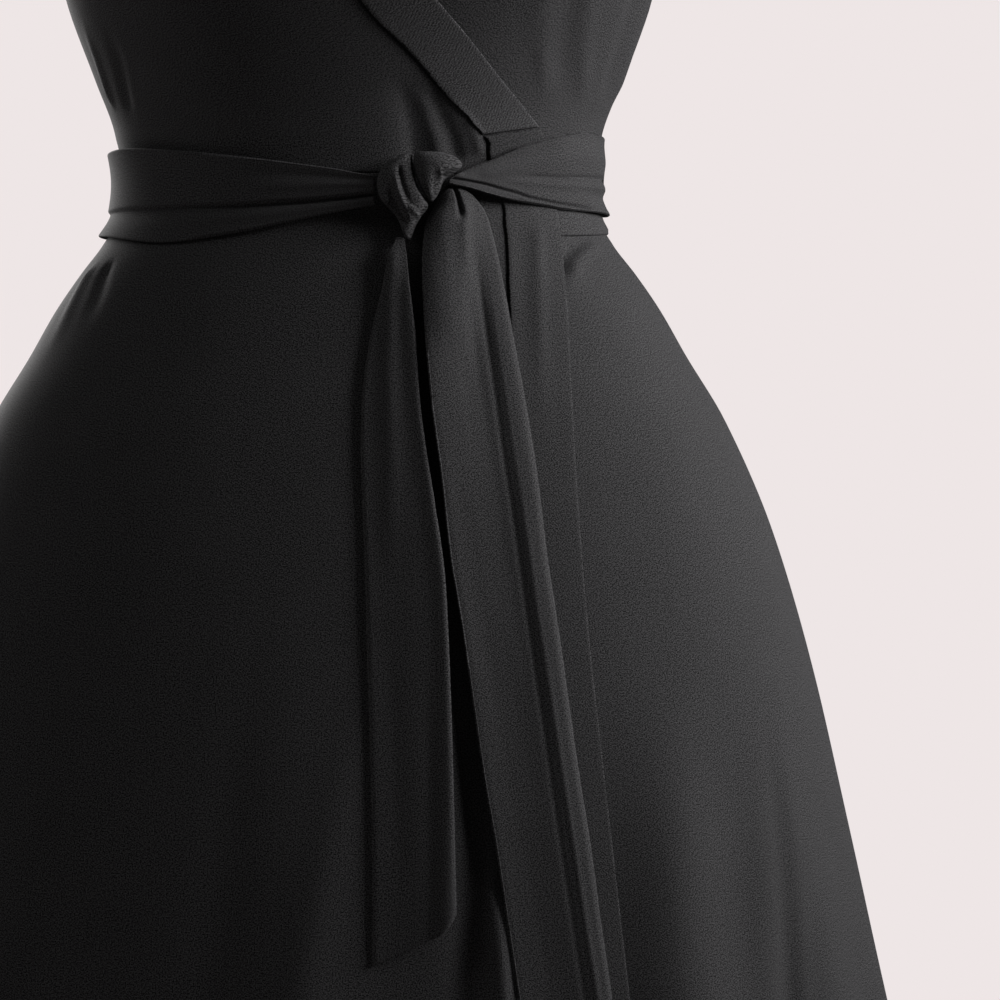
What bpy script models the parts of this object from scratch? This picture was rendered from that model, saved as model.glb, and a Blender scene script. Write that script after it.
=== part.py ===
"""A sleeveless knee-length wrap dress in black crepe jersey, tied with its own sash.

Metres, +Z up. The front faces -Y and the wearer's left is +X. The origin is the middle of the
shoulder line, where the wearer carries the dress. Every layer of cloth is one surface, worked out
from the table of sections below and moved outwards, layer by layer.

An angle runs round the dress from the centre front (0) over the wearer's left side (90 degrees) to
the centre back (180). A level is a height above the waist seam, negative on the skirt. Above the
chest, where the cloth turns in over the shoulder, levels run on along the cloth.
"""

import math

import bpy
import numpy as np

DRESS = "wrap_dress"

# Driving dimensions
SHOULDER_HEIGHT = 0.400
SHOULDER_LEVEL = 0.440
SKIRT_LENGTH = 0.700
WALL = 0.0012
TIE_WALL = 0.0016
SEAM_GAP = 0.0003
LAYER_GAP = 0.0012
HEM_LIFT = 0.0025
NECK_HALF = 0.078
SHOULDER_SLOPE = 0.28
BAND_WIDTH = 0.030
BAND_JOIN = 0.023
UNDER_BAND_LEVELS = (0.1215, 0.1280)
OVER_OUT = WALL + LAYER_GAP
OVER_TAPER_ANGLE = 26.0
BAND_LIFT = WALL + SEAM_GAP
EDGE_OUT = OVER_OUT + BAND_LIFT + WALL
BAND_COLUMNS = 3
SHOULDER_TURN = 0.22
LEAST_DEPTH = 0.03

# The sections of the dress, from the hem up to the shoulder line
FIGURE_COLUMNS = ("level", "height", "half_width", "front_depth", "back_depth")
FIGURE = (
    (-0.700, -0.700, 0.3300, 0.2250, 0.2400),
    (-0.550, -0.550, 0.3050, 0.2050, 0.2220),
    (-0.450, -0.450, 0.2870, 0.1900, 0.2100),
    (-0.350, -0.350, 0.2670, 0.1750, 0.1960),
    (-0.270, -0.270, 0.2495, 0.1600, 0.1820),
    (-0.190, -0.190, 0.2262, 0.1430, 0.1650),
    (-0.130, -0.130, 0.2000, 0.1280, 0.1480),
    (-0.095, -0.095, 0.1790, 0.1180, 0.1340),
    (-0.070, -0.070, 0.1650, 0.1110, 0.1220),
    (-0.050, -0.050, 0.1515, 0.1050, 0.1120),
    (-0.034, -0.034, 0.1392, 0.1000, 0.1030),
    (-0.018, -0.018, 0.1300, 0.0965, 0.0925),
    (0.000, 0.000, 0.1280, 0.0950, 0.0880),
    (0.028, 0.028, 0.1325, 0.0960, 0.0880),
    (0.058, 0.058, 0.1435, 0.0995, 0.0910),
    (0.102, 0.102, 0.1594, 0.1070, 0.0970),
    (0.150, 0.150, 0.1700, 0.1130, 0.1030),
    (0.205, 0.205, 0.1720, 0.1100, 0.1070),
    (0.255, 0.254, 0.1725, 0.0980, 0.1070),
    (0.300, 0.296, 0.1740, 0.0820, 0.1020),
    (0.340, 0.331, 0.1770, 0.0630, 0.0900),
    (0.375, 0.359, 0.1810, 0.0420, 0.0680),
    (0.405, 0.380, 0.1860, 0.0220, 0.0400),
    (0.430, 0.394, 0.1900, 0.0060, 0.0120),
    (SHOULDER_LEVEL, SHOULDER_HEIGHT, 0.1900, SEAM_GAP / 2, SEAM_GAP / 2),
)

# Fullness that the darts give over the chest
DART_ANGLE = 34.0
DART_LEVEL = 0.152
DART_DEPTH = 0.017
DART_HALF_ANGLE = 21.0
DART_HALF_HEIGHT = 0.050

# Soft folds of the skirt: each ridge (or, where the depth is negative, each trough) fades in
# below its top and is deepest at the hem
FOLD_COLUMNS = ("angle", "half_angle", "depth", "top")
FOLDS = (
    (-172.0, 9.0, 0.016, -0.12),
    (-150.0, 8.0, 0.021, -0.20),
    (-128.0, 9.0, 0.017, -0.14),
    (-107.0, 7.0, 0.013, -0.24),
    (-84.0, 8.0, 0.015, -0.28),
    (-61.0, 8.0, 0.018, -0.20),
    (-38.0, 7.0, 0.013, -0.26),
    (-5.0, 6.5, 0.015, -0.24),
    (17.0, 5.5, 0.010, -0.32),
    (40.0, 7.5, 0.014, -0.30),
    (62.0, 6.5, 0.013, -0.26),
    (81.0, 6.0, 0.012, -0.28),
    (103.0, 8.0, 0.016, -0.22),
    (126.0, 8.0, 0.018, -0.16),
    (147.0, 7.0, 0.013, -0.24),
    (168.0, 8.0, 0.018, -0.18),
)

# The free edge of the over front: the crossed neckline, then the front edge down to the hem
EDGE_COLUMNS = ("level", "x")
EDGE = (
    (-0.700, 0.1740),
    (-0.550, 0.1580),
    (-0.406, 0.1419),
    (-0.312, 0.1314),
    (-0.242, 0.1243),
    (-0.169, 0.1189),
    (-0.110, 0.1161),
    (-0.078, 0.1147),
    (-0.035, 0.1112),
    (-0.017, 0.1086),
    (0.000, 0.1055),
    (0.020, 0.1005),
    (0.032, 0.0924),
    (0.050, 0.0790),
    (0.071, 0.0627),
    (0.090, 0.0459),
    (0.142, 0.0000),
    (0.180, -0.0250),
    (0.220, -0.0440),
    (0.260, -0.0560),
    (0.300, -0.0640),
    (0.360, -0.0730),
    (SHOULDER_LEVEL, -NECK_HALF),
)

# The band is drawn narrower where the neckline ends at the waist
BAND_WIDTH_COLUMNS = ("level", "width")
BAND_WIDTHS = (
    (-SKIRT_LENGTH, 0.0312),
    (-0.062, 0.0316),
    (-0.042, 0.0309),
    (-0.022, 0.0324),
    (0.005, 0.0322),
    (0.0134, 0.0302),
    (0.0197, 0.0266),
    (0.0262, 0.0230),
    (0.042, 0.0256),
    (0.063, 0.0280),
    (0.085, BAND_WIDTH),
    (SHOULDER_LEVEL, BAND_WIDTH),
)

# Where each front and the back end at the side: the side seam, then the armhole
ARMHOLE_COLUMNS = ("level", "angle")
ARMHOLE = (
    (-SKIRT_LENGTH, 90.0),
    (0.200, 90.0),
    (0.205, 88.0),
    (0.218, 75.0),
    (0.240, 66.0),
    (0.275, 60.5),
    (0.315, 58.5),
    (0.355, 59.5),
    (0.395, 61.5),
    (SHOULDER_LEVEL, 64.0),
)

BODICE_LEVELS = (0.006, 0.023, 0.045, 0.075, 0.105, 0.135, 0.165, 0.190, 0.205, 0.218, 0.240, 0.275, 0.315,
                 0.355, 0.385, 0.410, 0.426, SHOULDER_LEVEL)
SKIRT_LEVELS = (-0.006, -0.020, -0.040, -0.060, -0.085, -0.120, -0.165, -0.215, -0.270, -0.330, -0.400,
                -0.470, -0.550, -0.630, -SKIRT_LENGTH)

BODICE_FRONT_COLUMNS = 17
SKIRT_FRONT_COLUMNS = 27
SKIRT_BACK_COLUMNS = 39
BACK_SIDE_COLUMNS = 8
BACK_NECK_COLUMNS = 9
BACK_BAND_COLUMNS = 15

# The back neckline dips below the shoulder line
BACK_NECK_DIP = 0.030
BACK_BAND_GAP = 0.0016

# The two ties of the sash, each as the angles that it passes, its two edges and how far out it lies
TIE_COLUMNS = ("angle", "low", "high", "out")
TIE_FROM_OVER_FRONT = (
    (55.0, -0.0322, 0.0120, 0.0023),
    (70.0, -0.0304, 0.0110, 0.0023),
    (90.0, -0.0282, 0.0110, 0.0023),
    (120.0, -0.0300, 0.0090, 0.0024),
    (150.0, -0.0400, -0.0010, 0.0025),
    (180.0, -0.0430, -0.0020, 0.0030),
    (210.0, -0.0400, -0.0010, 0.0048),
    (240.0, -0.0330, 0.0120, 0.0050),
    (270.0, -0.0320, 0.0180, 0.0050),
    (290.0, -0.0335, 0.0185, 0.0050),
    (316.0, -0.0380, 0.0142, 0.0046),
    (335.0, -0.0330, 0.0090, 0.0046),
    (347.5, -0.0268, 0.0049, 0.0052),
    (357.0, -0.0226, 0.0014, 0.0072),
    (364.8, -0.0196, -0.0028, 0.0108),
)
TIE_FROM_UNDER_FRONT = (
    (21.0, -0.0074, -0.0050, 0.0146),
    (22.3, -0.0082, -0.0020, 0.0145),
    (23.5, -0.0088, 0.0000, 0.0143),
    (26.0, -0.0098, 0.0026, 0.0133),
    (28.0, -0.0106, 0.0044, 0.0122),
    (33.0, -0.0126, 0.0088, 0.0102),
    (40.0, -0.0140, 0.0160, 0.0082),
    (48.0, -0.0145, 0.0210, 0.0067),
    (55.0, -0.0158, 0.0245, 0.0061),
    (64.0, -0.0169, 0.0260, 0.0056),
    (76.0, -0.0180, 0.0266, 0.0051),
    (90.0, -0.0188, 0.0263, 0.0050),
    (120.0, -0.0120, 0.0290, 0.0050),
    (150.0, 0.0015, 0.0380, 0.0048),
    (180.0, 0.0020, 0.0430, 0.0032),
    (196.0, 0.0015, 0.0410, 0.0025),
    (210.0, 0.0010, 0.0380, 0.0024),
    (240.0, -0.0160, 0.0260, 0.0024),
    (267.0, -0.0220, 0.0200, 0.0022),
)
TIE_EDGE_GAP = 0.0012

# Over the wearer's left side the upper edge of the outer tie comes in to the bodice
TIE_HUG = 0.0034
TIE_HUG_ANGLES = (50.0, 64.0, 88.0, 112.0)
TIE_STRETCH_END = 120.0
TIE_COLUMN_STEP = 7.0
TIE_CROSS_ROWS = 3

# The two ends of the sash below the knot: their left and right edges
TAIL_COLUMNS = ("level", "left", "right")
TAIL_FRONT = (
    (-0.0100, 0.0500, 0.0590),
    (-0.0134, 0.0470, 0.0645),
    (-0.0215, 0.0434, 0.0705),
    (-0.0330, 0.0392, 0.0745),
    (-0.0530, 0.0380, 0.0792),
    (-0.0900, 0.0395, 0.0862),
    (-0.1270, 0.0428, 0.0930),
    (-0.1630, 0.0478, 0.0987),
    (-0.2030, 0.0523, 0.1035),
    (-0.2400, 0.0585, 0.1092),
    (-0.2800, 0.0643, 0.1148),
    (-0.3180, 0.0700, 0.1203),
    (-0.3520, 0.0760, 0.1258),
    (-0.3890, 0.0815, 0.1308),
    (-0.4270, 0.0868, 0.1363),
    (-0.4650, 0.0915, 0.1408),
    (-0.5000, 0.0950, 0.1440),
)
TAIL_REAR = (
    (-0.0380, 0.0232, 0.0275),
    (-0.0480, 0.0190, 0.0292),
    (-0.0650, 0.0155, 0.0308),
    (-0.0900, 0.0095, 0.0340),
    (-0.1220, 0.0056, 0.0362),
    (-0.1480, 0.0052, 0.0395),
    (-0.1750, 0.0062, 0.0440),
    (-0.2180, 0.0080, 0.0500),
    (-0.2600, 0.0094, 0.0522),
    (-0.3170, 0.0112, 0.0542),
    (-0.3600, 0.0120, 0.0553),
    (-0.3930, 0.0120, 0.0562),
)

# How far out each end lies at these shares of its width. The front one falls from its left part to a
# valley, and rises from there to a fold beside its right edge.
OUT_SHARES = (0.0, 0.14, 0.28, 0.42, 0.56, 0.70, 0.85, 1.0)
FRONT_OUT = (
    (-0.0100, 0.0122, 0.0128, 0.0130, 0.0130, 0.0128, 0.0126, 0.0123, 0.0120),
    (-0.0160, 0.0120, 0.0136, 0.0144, 0.0144, 0.0138, 0.0126, 0.0110, 0.0096),
    (-0.0310, 0.0138, 0.0160, 0.0168, 0.0164, 0.0152, 0.0128, 0.0104, 0.0086),
    (-0.0570, 0.0152, 0.0158, 0.0155, 0.0142, 0.0116, 0.0089, 0.0083, 0.0074),
    (-0.0830, 0.0156, 0.0157, 0.0151, 0.0132, 0.0098, 0.0081, 0.0088, 0.0078),
    (-0.0980, 0.0152, 0.0146, 0.0132, 0.0109, 0.0083, 0.0080, 0.0091, 0.0081),
    (-0.1180, 0.0142, 0.0129, 0.0112, 0.0091, 0.0077, 0.0079, 0.0089, 0.0079),
    (-0.1450, 0.0134, 0.0119, 0.0104, 0.0087, 0.0076, 0.0079, 0.0089, 0.0079),
    (-0.1700, 0.0120, 0.0106, 0.0093, 0.0080, 0.0072, 0.0078, 0.0089, 0.0080),
    (-0.2000, 0.0112, 0.0100, 0.0088, 0.0077, 0.0071, 0.0078, 0.0091, 0.0081),
    (-0.2400, 0.0104, 0.0092, 0.0081, 0.0074, 0.0072, 0.0080, 0.0094, 0.0085),
    (-0.2730, 0.0098, 0.0087, 0.0076, 0.0073, 0.0076, 0.0085, 0.0098, 0.0089),
    (-0.3140, 0.0095, 0.0085, 0.0078, 0.0077, 0.0082, 0.0091, 0.0101, 0.0092),
    (-0.3600, 0.0092, 0.0083, 0.0080, 0.0085, 0.0093, 0.0102, 0.0110, 0.0101),
    (-0.4200, 0.0090, 0.0083, 0.0082, 0.0088, 0.0098, 0.0108, 0.0116, 0.0107),
    (-0.5000, 0.0090, 0.0083, 0.0082, 0.0088, 0.0098, 0.0108, 0.0116, 0.0107),
)
REAR_OUT = (
    (-0.0380, 0.0093, 0.0094, 0.0094, 0.0095, 0.0095, 0.0096, 0.0096, 0.0096),
    (-0.0480, 0.0082, 0.0084, 0.0087, 0.0089, 0.0091, 0.0093, 0.0095, 0.0096),
    (-0.0900, 0.0056, 0.0060, 0.0067, 0.0075, 0.0083, 0.0090, 0.0096, 0.0098),
    (-0.1480, 0.0054, 0.0058, 0.0066, 0.0075, 0.0085, 0.0093, 0.0099, 0.0101),
    (-0.2600, 0.0057, 0.0061, 0.0068, 0.0077, 0.0087, 0.0095, 0.0101, 0.0103),
    (-0.3930, 0.0060, 0.0064, 0.0070, 0.0079, 0.0088, 0.0096, 0.0102, 0.0104),
)
TAIL_END_SLANT = 0.018
TAIL_END_TURN = 0.060
TAIL_CROSS_COLUMNS = 8

# The knot: each lobe as a row of sections, its middle across and its half sizes
LOBE_COLUMNS = ("level", "x", "half_across", "out", "half_thick")
KNOT_WRAP = (
    (0.0100, 0.0300, 0.0020, 0.0120, 0.0030),
    (0.0065, 0.0267, 0.0054, 0.0122, 0.0060),
    (0.0010, 0.0238, 0.0089, 0.0124, 0.0074),
    (-0.0050, 0.0235, 0.0104, 0.0125, 0.0079),
    (-0.0110, 0.0246, 0.0113, 0.0126, 0.0080),
    (-0.0170, 0.0276, 0.0121, 0.0125, 0.0077),
    (-0.0200, 0.0294, 0.0111, 0.0122, 0.0072),
    (-0.0225, 0.0300, 0.0097, 0.0120, 0.0068),
    (-0.0260, 0.0300, 0.0070, 0.0115, 0.0060),
    (-0.0310, 0.0299, 0.0042, 0.0106, 0.0046),
    (-0.0355, 0.0298, 0.0025, 0.0098, 0.0034),
    (-0.0390, 0.0297, 0.0013, 0.0092, 0.0022),
)
KNOT_LOBE = (
    (0.0112, 0.0410, 0.0060, 0.0130, 0.0040),
    (0.0085, 0.0444, 0.0114, 0.0134, 0.0074),
    (0.0040, 0.0457, 0.0132, 0.0135, 0.0086),
    (0.0005, 0.0443, 0.0113, 0.0135, 0.0086),
    (-0.0030, 0.0427, 0.0087, 0.0135, 0.0082),
    (-0.0075, 0.0419, 0.0064, 0.0136, 0.0074),
    (-0.0120, 0.0421, 0.0045, 0.0138, 0.0058),
    (-0.0150, 0.0424, 0.0026, 0.0138, 0.0042),
    (-0.0172, 0.0420, 0.0011, 0.0136, 0.0024),
)
KNOT_SIDES = 20
WRAP_PLEATS = 3
WRAP_PLEAT_DEPTH = 0.22

CLOTH_COLOUR = (0.022, 0.022, 0.024)
CLOTH_ROUGHNESS = 0.82


def smooth_column(table, columns, key, value):
    """A function through one column of a table, smooth and with no overshoot."""
    rows = sorted(table, key=lambda row: row[columns.index(key)])
    x = np.array([row[columns.index(key)] for row in rows])
    y = np.array([row[columns.index(value)] for row in rows])
    slope = np.diff(y) / np.diff(x)
    tangent = np.concatenate([slope[:1], np.zeros(len(x) - 2), slope[-1:]])
    before, after = slope[:-1], slope[1:]
    same = before * after > 0
    tangent[1:-1][same] = 2 * before[same] * after[same] / (before + after)[same]

    def at(where):
        where = np.clip(where, x[0], x[-1])
        i = np.clip(np.searchsorted(x, where, side="right") - 1, 0, len(x) - 2)
        step = x[i + 1] - x[i]
        t = (where - x[i]) / step
        ends = y[i] * (1 + 2 * t) * (1 - t) ** 2 + y[i + 1] * t * t * (3 - 2 * t)
        return ends + step * t * (1 - t) * (tangent[i] * (1 - t) - tangent[i + 1] * t)

    return at


height_at = smooth_column(FIGURE, FIGURE_COLUMNS, "level", "height")
half_width_at = smooth_column(FIGURE, FIGURE_COLUMNS, "level", "half_width")
front_depth_at = smooth_column(FIGURE, FIGURE_COLUMNS, "level", "front_depth")
back_depth_at = smooth_column(FIGURE, FIGURE_COLUMNS, "level", "back_depth")
edge_x_at = smooth_column(EDGE, EDGE_COLUMNS, "level", "x")
armhole_at = smooth_column(ARMHOLE, ARMHOLE_COLUMNS, "level", "angle")
band_width_at = smooth_column(BAND_WIDTHS, BAND_WIDTH_COLUMNS, "level", "width")


def smooth_step(low, high, value):
    t = np.clip((value - low) / (high - low), 0.0, 1.0)
    return t * t * (3 - 2 * t)


def turn(angle, middle):
    """The angle from a middle, in degrees between -180 and 180."""
    return (np.degrees(angle) - middle + 180.0) % 360.0 - 180.0


def swell(angle, level):
    """How far the darts and the skirt's folds push the cloth out from its section."""
    total = np.zeros(np.broadcast(angle, level).shape)
    for side in (-1, 1):
        across = turn(angle, side * DART_ANGLE) / DART_HALF_ANGLE
        along = (level - DART_LEVEL) / DART_HALF_HEIGHT
        total = total + DART_DEPTH * np.exp(-across ** 2 - along ** 2)
    for middle, half_angle, depth, top in FOLDS:
        across = turn(angle, middle) / half_angle
        fade = smooth_step(-top, SKIRT_LENGTH, -level)
        total = total + depth * fade * np.exp(-across ** 2)
    return total


def base_point(angle, level):
    """A point of the innermost surface."""
    angle, level = np.broadcast_arrays(np.asarray(angle, float), np.asarray(level, float))
    out = swell(angle, level)
    depth = np.where(np.cos(angle) >= 0, front_depth_at(level), back_depth_at(level))
    x = (half_width_at(level) + out) * np.sin(angle)
    y = -(depth + out) * np.cos(angle)
    past_neck = np.maximum(np.abs(x) - NECK_HALF, 0.0)
    fall = SHOULDER_SLOPE * past_neck * smooth_step(SHOULDER_TURN, SHOULDER_LEVEL, level)
    return np.stack([x, y, height_at(level) - SHOULDER_HEIGHT - fall], axis=-1)


def cloth_point(angle, level, out):
    """A point moved out from the innermost surface, square to it."""
    step = 1e-4
    along_angle = base_point(angle + step, level) - base_point(angle - step, level)
    low = np.maximum(level - step, -SKIRT_LENGTH)
    high = np.minimum(level + step, SHOULDER_LEVEL)
    along_level = base_point(angle, high) - base_point(angle, low)
    square = np.cross(along_angle, along_level)
    square /= np.linalg.norm(square, axis=-1, keepdims=True)
    return base_point(angle, level) + square * np.asarray(out)[..., None]


def angle_of(x, level, out=0.0):
    """The angle at which a front layer reaches a distance from the centre line."""
    reach = half_width_at(level) + out
    return np.arcsin(np.clip(x / reach, -0.999, 0.999))


def seam_angle(level, depth_at):
    """Where a piece ends at the side seam or the armhole, a seam gap short of it."""
    return np.radians(armhole_at(level)) - SEAM_GAP / np.maximum(depth_at(level), LEAST_DEPTH)


def over_out(angle, level, more=0.0):
    """How far out the over front lies: it comes down onto its side seam, and hangs free at the hem."""
    hang = HEM_LIFT * smooth_step(0.0, SKIRT_LENGTH, -level)
    return (OVER_OUT + hang) * smooth_step(0.0, OVER_TAPER_ANGLE, turn(angle, -90.0)) + more


def band_turn(level, edge):
    """The angle that a band takes up beside the free edge."""
    step = 1e-3
    low = np.maximum(level - step, -SKIRT_LENGTH)
    high = np.minimum(level + step, SHOULDER_LEVEL)
    along = base_point(edge(high), high) - base_point(edge(low), low)
    along /= np.linalg.norm(along, axis=-1, keepdims=True)
    across = (base_point(edge(level) + step, level) - base_point(edge(level) - step, level)) / (2 * step)
    return band_width_at(level) / np.linalg.norm(np.cross(across, along), axis=-1)


def over_edge(level):
    """The free edge, whose distance from the centre line is that of its band's outer side."""
    return angle_of(edge_x_at(level), level, EDGE_OUT * smooth_step(SHOULDER_LEVEL, SHOULDER_TURN, level))


def under_edge(level):
    return -over_edge(level)


def seamed_levels():
    """The levels of the bodice and of the skirt, each half a seam gap from the waist seam."""
    bodice = np.array((SEAM_GAP / 2,) + BODICE_LEVELS)
    skirt = np.array((-SEAM_GAP / 2,) + SKIRT_LEVELS)
    return bodice, skirt


def new_material(name, lighten):
    material = bpy.data.materials.new(name)
    material.use_nodes = True
    shader = material.node_tree.nodes["Principled BSDF"]
    shader.inputs["Base Color"].default_value = [part * lighten for part in CLOTH_COLOUR] + [1.0]
    shader.inputs["Roughness"].default_value = CLOTH_ROUGHNESS
    shader.inputs["Metallic"].default_value = 0.0
    return material


def new_object(name, points, faces, lighten=1.0):
    mesh = bpy.data.meshes.new(name)
    mesh.from_pydata(points.reshape(-1, 3).tolist(), [], faces)
    mesh.validate()
    mesh.shade_smooth()
    mesh.set_sharp_from_angle(angle=math.radians(50))
    mesh.materials.append(new_material(name, lighten))
    piece = bpy.data.objects.new(name, mesh)
    bpy.data.collections[DRESS].objects.link(piece)
    return piece


def grid_faces(rows, columns):
    return [(i * columns + j, i * columns + j + 1, (i + 1) * columns + j + 1, (i + 1) * columns + j)
            for i in range(rows - 1) for j in range(columns - 1)]


def cloth_piece(name, points, wall=WALL, lighten=1.0):
    """A grid of points, given on the wall's inner side, made into a wall of cloth."""
    rows, columns = points.shape[:2]
    piece = new_object(name, points, grid_faces(rows, columns), lighten)
    solid = piece.modifiers.new("wall", "SOLIDIFY")
    solid.thickness = wall
    solid.offset = 1.0
    return piece


def front_angles(levels, side, edge, columns):
    """Angles of a front, from its side to its free edge, the last columns under its band."""
    rows = []
    for level in levels:
        end = edge(level)
        inner = end - side * band_turn(level, edge)
        start = -side * seam_angle(level, front_depth_at)
        panel = np.linspace(start, inner, columns)
        rows.append(np.concatenate([panel, np.linspace(inner, end, BAND_COLUMNS)[1:]]))
    return np.array(rows)


def piece_on_levels(name, angles, levels, out, wall=WALL, lighten=1.0):
    levels = np.broadcast_to(np.asarray(levels)[:, None], angles.shape)
    order = -1 if levels[0, 0] > levels[-1, 0] else 1
    if angles[0, 0] > angles[0, -1]:
        angles = angles[:, ::-1]
        out = out[:, ::-1]
    points = cloth_point(angles, levels, out)
    return cloth_piece(name, points[::order], wall, lighten)


def build_over_front():
    bodice_levels, skirt_levels = seamed_levels()
    bodice = front_angles(bodice_levels, 1, over_edge, BODICE_FRONT_COLUMNS)
    skirt = front_angles(skirt_levels, 1, over_edge, SKIRT_FRONT_COLUMNS)
    piece_on_levels("bodice_front_over", bodice, bodice_levels, over_out(bodice, bodice_levels[:, None]))
    piece_on_levels("skirt_front_over", skirt, skirt_levels, over_out(skirt, skirt_levels[:, None]))

    neck = bodice_levels >= BAND_JOIN
    neck_levels = bodice_levels[neck]
    neck_angles = bodice[neck][:, -BAND_COLUMNS:]
    neck_levels[0] += SEAM_GAP
    neck_out = over_out(neck_angles, neck_levels[:, None], BAND_LIFT)
    piece_on_levels("neck_band_over", neck_angles, neck_levels, neck_out, lighten=1.15)

    edge_levels = np.concatenate([[BAND_JOIN], bodice_levels[:1], skirt_levels])
    edge_angles = front_angles(edge_levels, 1, over_edge, SKIRT_FRONT_COLUMNS)[:, -BAND_COLUMNS:]
    edge_out = over_out(edge_angles, edge_levels[:, None], BAND_LIFT)
    piece_on_levels("skirt_band_over", edge_angles, edge_levels, edge_out, lighten=1.15)


def build_under_front():
    bodice_levels, skirt_levels = seamed_levels()
    bodice = front_angles(bodice_levels, -1, under_edge, BODICE_FRONT_COLUMNS)
    skirt = front_angles(skirt_levels, -1, under_edge, SKIRT_FRONT_COLUMNS)
    piece_on_levels("bodice_front_under", bodice, bodice_levels, np.zeros(bodice.shape))
    piece_on_levels("skirt_front_under", skirt, skirt_levels, np.zeros(skirt.shape))

    # Its band shows only above the place where the over front crosses it
    shown = tuple(level for level in BODICE_LEVELS if level > UNDER_BAND_LEVELS[-1])
    levels = np.array(UNDER_BAND_LEVELS + shown)
    angles = front_angles(levels, -1, under_edge, BODICE_FRONT_COLUMNS)[:, -BAND_COLUMNS:]
    inner = angles[:, 0]
    clear = 3 * SEAM_GAP / half_width_at(levels)
    outer = np.maximum(angles[:, 2], over_edge(levels) + clear)
    angles = np.stack([inner, (inner + outer) / 2, outer], axis=1)
    out = np.full(angles.shape, WALL + SEAM_GAP)
    piece_on_levels("neck_band_under", angles, levels, out, lighten=1.15)


def back_piece(name, levels, spread):
    """A back, from one side to the other; each of its columns has its own levels."""
    angles = math.pi + spread[None, :] * seam_angle(levels, back_depth_at)
    points = cloth_point(angles, levels, np.zeros(angles.shape))
    order = -1 if levels[0, 0] > levels[-1, 0] else 1
    cloth_piece(name, points[::order])


def build_back():
    bodice_levels, skirt_levels = seamed_levels()
    top_reach = math.radians(armhole_at(SHOULDER_LEVEL))
    neck_share = math.asin(NECK_HALF / half_width_at(SHOULDER_LEVEL)) / top_reach
    side = np.linspace(neck_share, 1.0, BACK_SIDE_COLUMNS)
    neck = np.linspace(-neck_share, neck_share, BACK_NECK_COLUMNS)
    spread = np.concatenate([-side[::-1], neck[1:-1], side])
    dip = BACK_NECK_DIP * (1 - np.clip(np.abs(spread) / neck_share, 0, 1) ** 2)
    dipped = smooth_step(SHOULDER_TURN, SHOULDER_LEVEL, bodice_levels)
    back_piece("bodice_back", bodice_levels[:, None] - dipped[:, None] * dip[None, :], spread)

    spread = np.linspace(-1, 1, SKIRT_BACK_COLUMNS)
    back_piece("skirt_back", np.repeat(skirt_levels[:, None], len(spread), axis=1), spread)

    # The band of the back neckline, as wide at the shoulder seams as the bands of the fronts
    across = np.linspace(-1, 1, BACK_BAND_COLUMNS)
    rows = []
    for share in np.linspace(0, 1, BAND_COLUMNS):
        reach = NECK_HALF + BAND_WIDTH * share
        x = reach * across
        dip = (BACK_NECK_DIP + BAND_WIDTH * share) * (1 - np.abs(across) ** (2 + share))
        level = SHOULDER_LEVEL - dip
        angle = math.pi - np.arcsin(x / half_width_at(level))
        rows.append(cloth_point(angle, level, np.full(level.shape, WALL + BACK_BAND_GAP)))
    cloth_piece("neck_band_back", np.array(rows)[::-1, ::-1], lighten=1.15)


def tie_strip(name, table, start, end, lighten, edge=None, hug=0.0):
    """One stretch of a tie, from its start to its end angle; the start may follow an edge."""
    low_at, high_at, out_at = (
        smooth_column(table, TIE_COLUMNS, "angle", value) for value in ("low", "high", "out")
    )
    count = max(2, round((end - start) / TIE_COLUMN_STEP))
    degrees = np.linspace(start, end, count + 1)
    share = np.linspace(0, 1, TIE_CROSS_ROWS + 1)[:, None]
    level = low_at(degrees) * (1 - share) + high_at(degrees) * share
    angle = np.radians(degrees) + np.zeros(level.shape)
    if edge:
        angle[:, 0] = edge(level[:, 0]) + TIE_EDGE_GAP / half_width_at(level[:, 0])
    out = out_at(degrees) + np.zeros(level.shape)
    begins, full, eases, ends = TIE_HUG_ANGLES
    out[-1] -= hug * smooth_step(begins, full, degrees) * smooth_step(ends, eases, degrees)
    cloth_piece(name, cloth_point(angle, level, out), TIE_WALL, lighten)


def build_ties():
    """Each tie runs round the waist in stretches, one after the other."""
    gap = math.degrees(SEAM_GAP / half_width_at(0.0))
    start = math.degrees(over_edge(0.0))
    from_over, from_under = TIE_FROM_OVER_FRONT, TIE_FROM_UNDER_FRONT
    tie_strip("tie_over_start", from_over, start, TIE_STRETCH_END, 0.9, over_edge)
    tie_strip("tie_over_back", from_over, TIE_STRETCH_END + gap, 270.0, 0.9)
    tie_strip("tie_over_front", from_over, 270.0 + gap, from_over[-1][0], 0.9)
    tie_strip("tie_under_front", from_under, from_under[0][0], 90.0, 1.0, hug=TIE_HUG)
    tie_strip("tie_under_back", from_under, 90.0 + gap, from_under[-1][0], 1.0, hug=TIE_HUG)


def tail_out(table, levels, share):
    """How far out a hanging end lies at each share of its width, a row for each level."""
    columns = ("level",) + OUT_SHARES
    sections = [smooth_column(table, columns, "level", place)(levels) for place in OUT_SHARES]
    rows = []
    for section in np.concatenate(sections, axis=1):
        across = tuple(zip(OUT_SHARES, section))
        rows.append(smooth_column(across, ("share", "out"), "share", "out")(share[0]))
    return np.array(rows)


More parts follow.
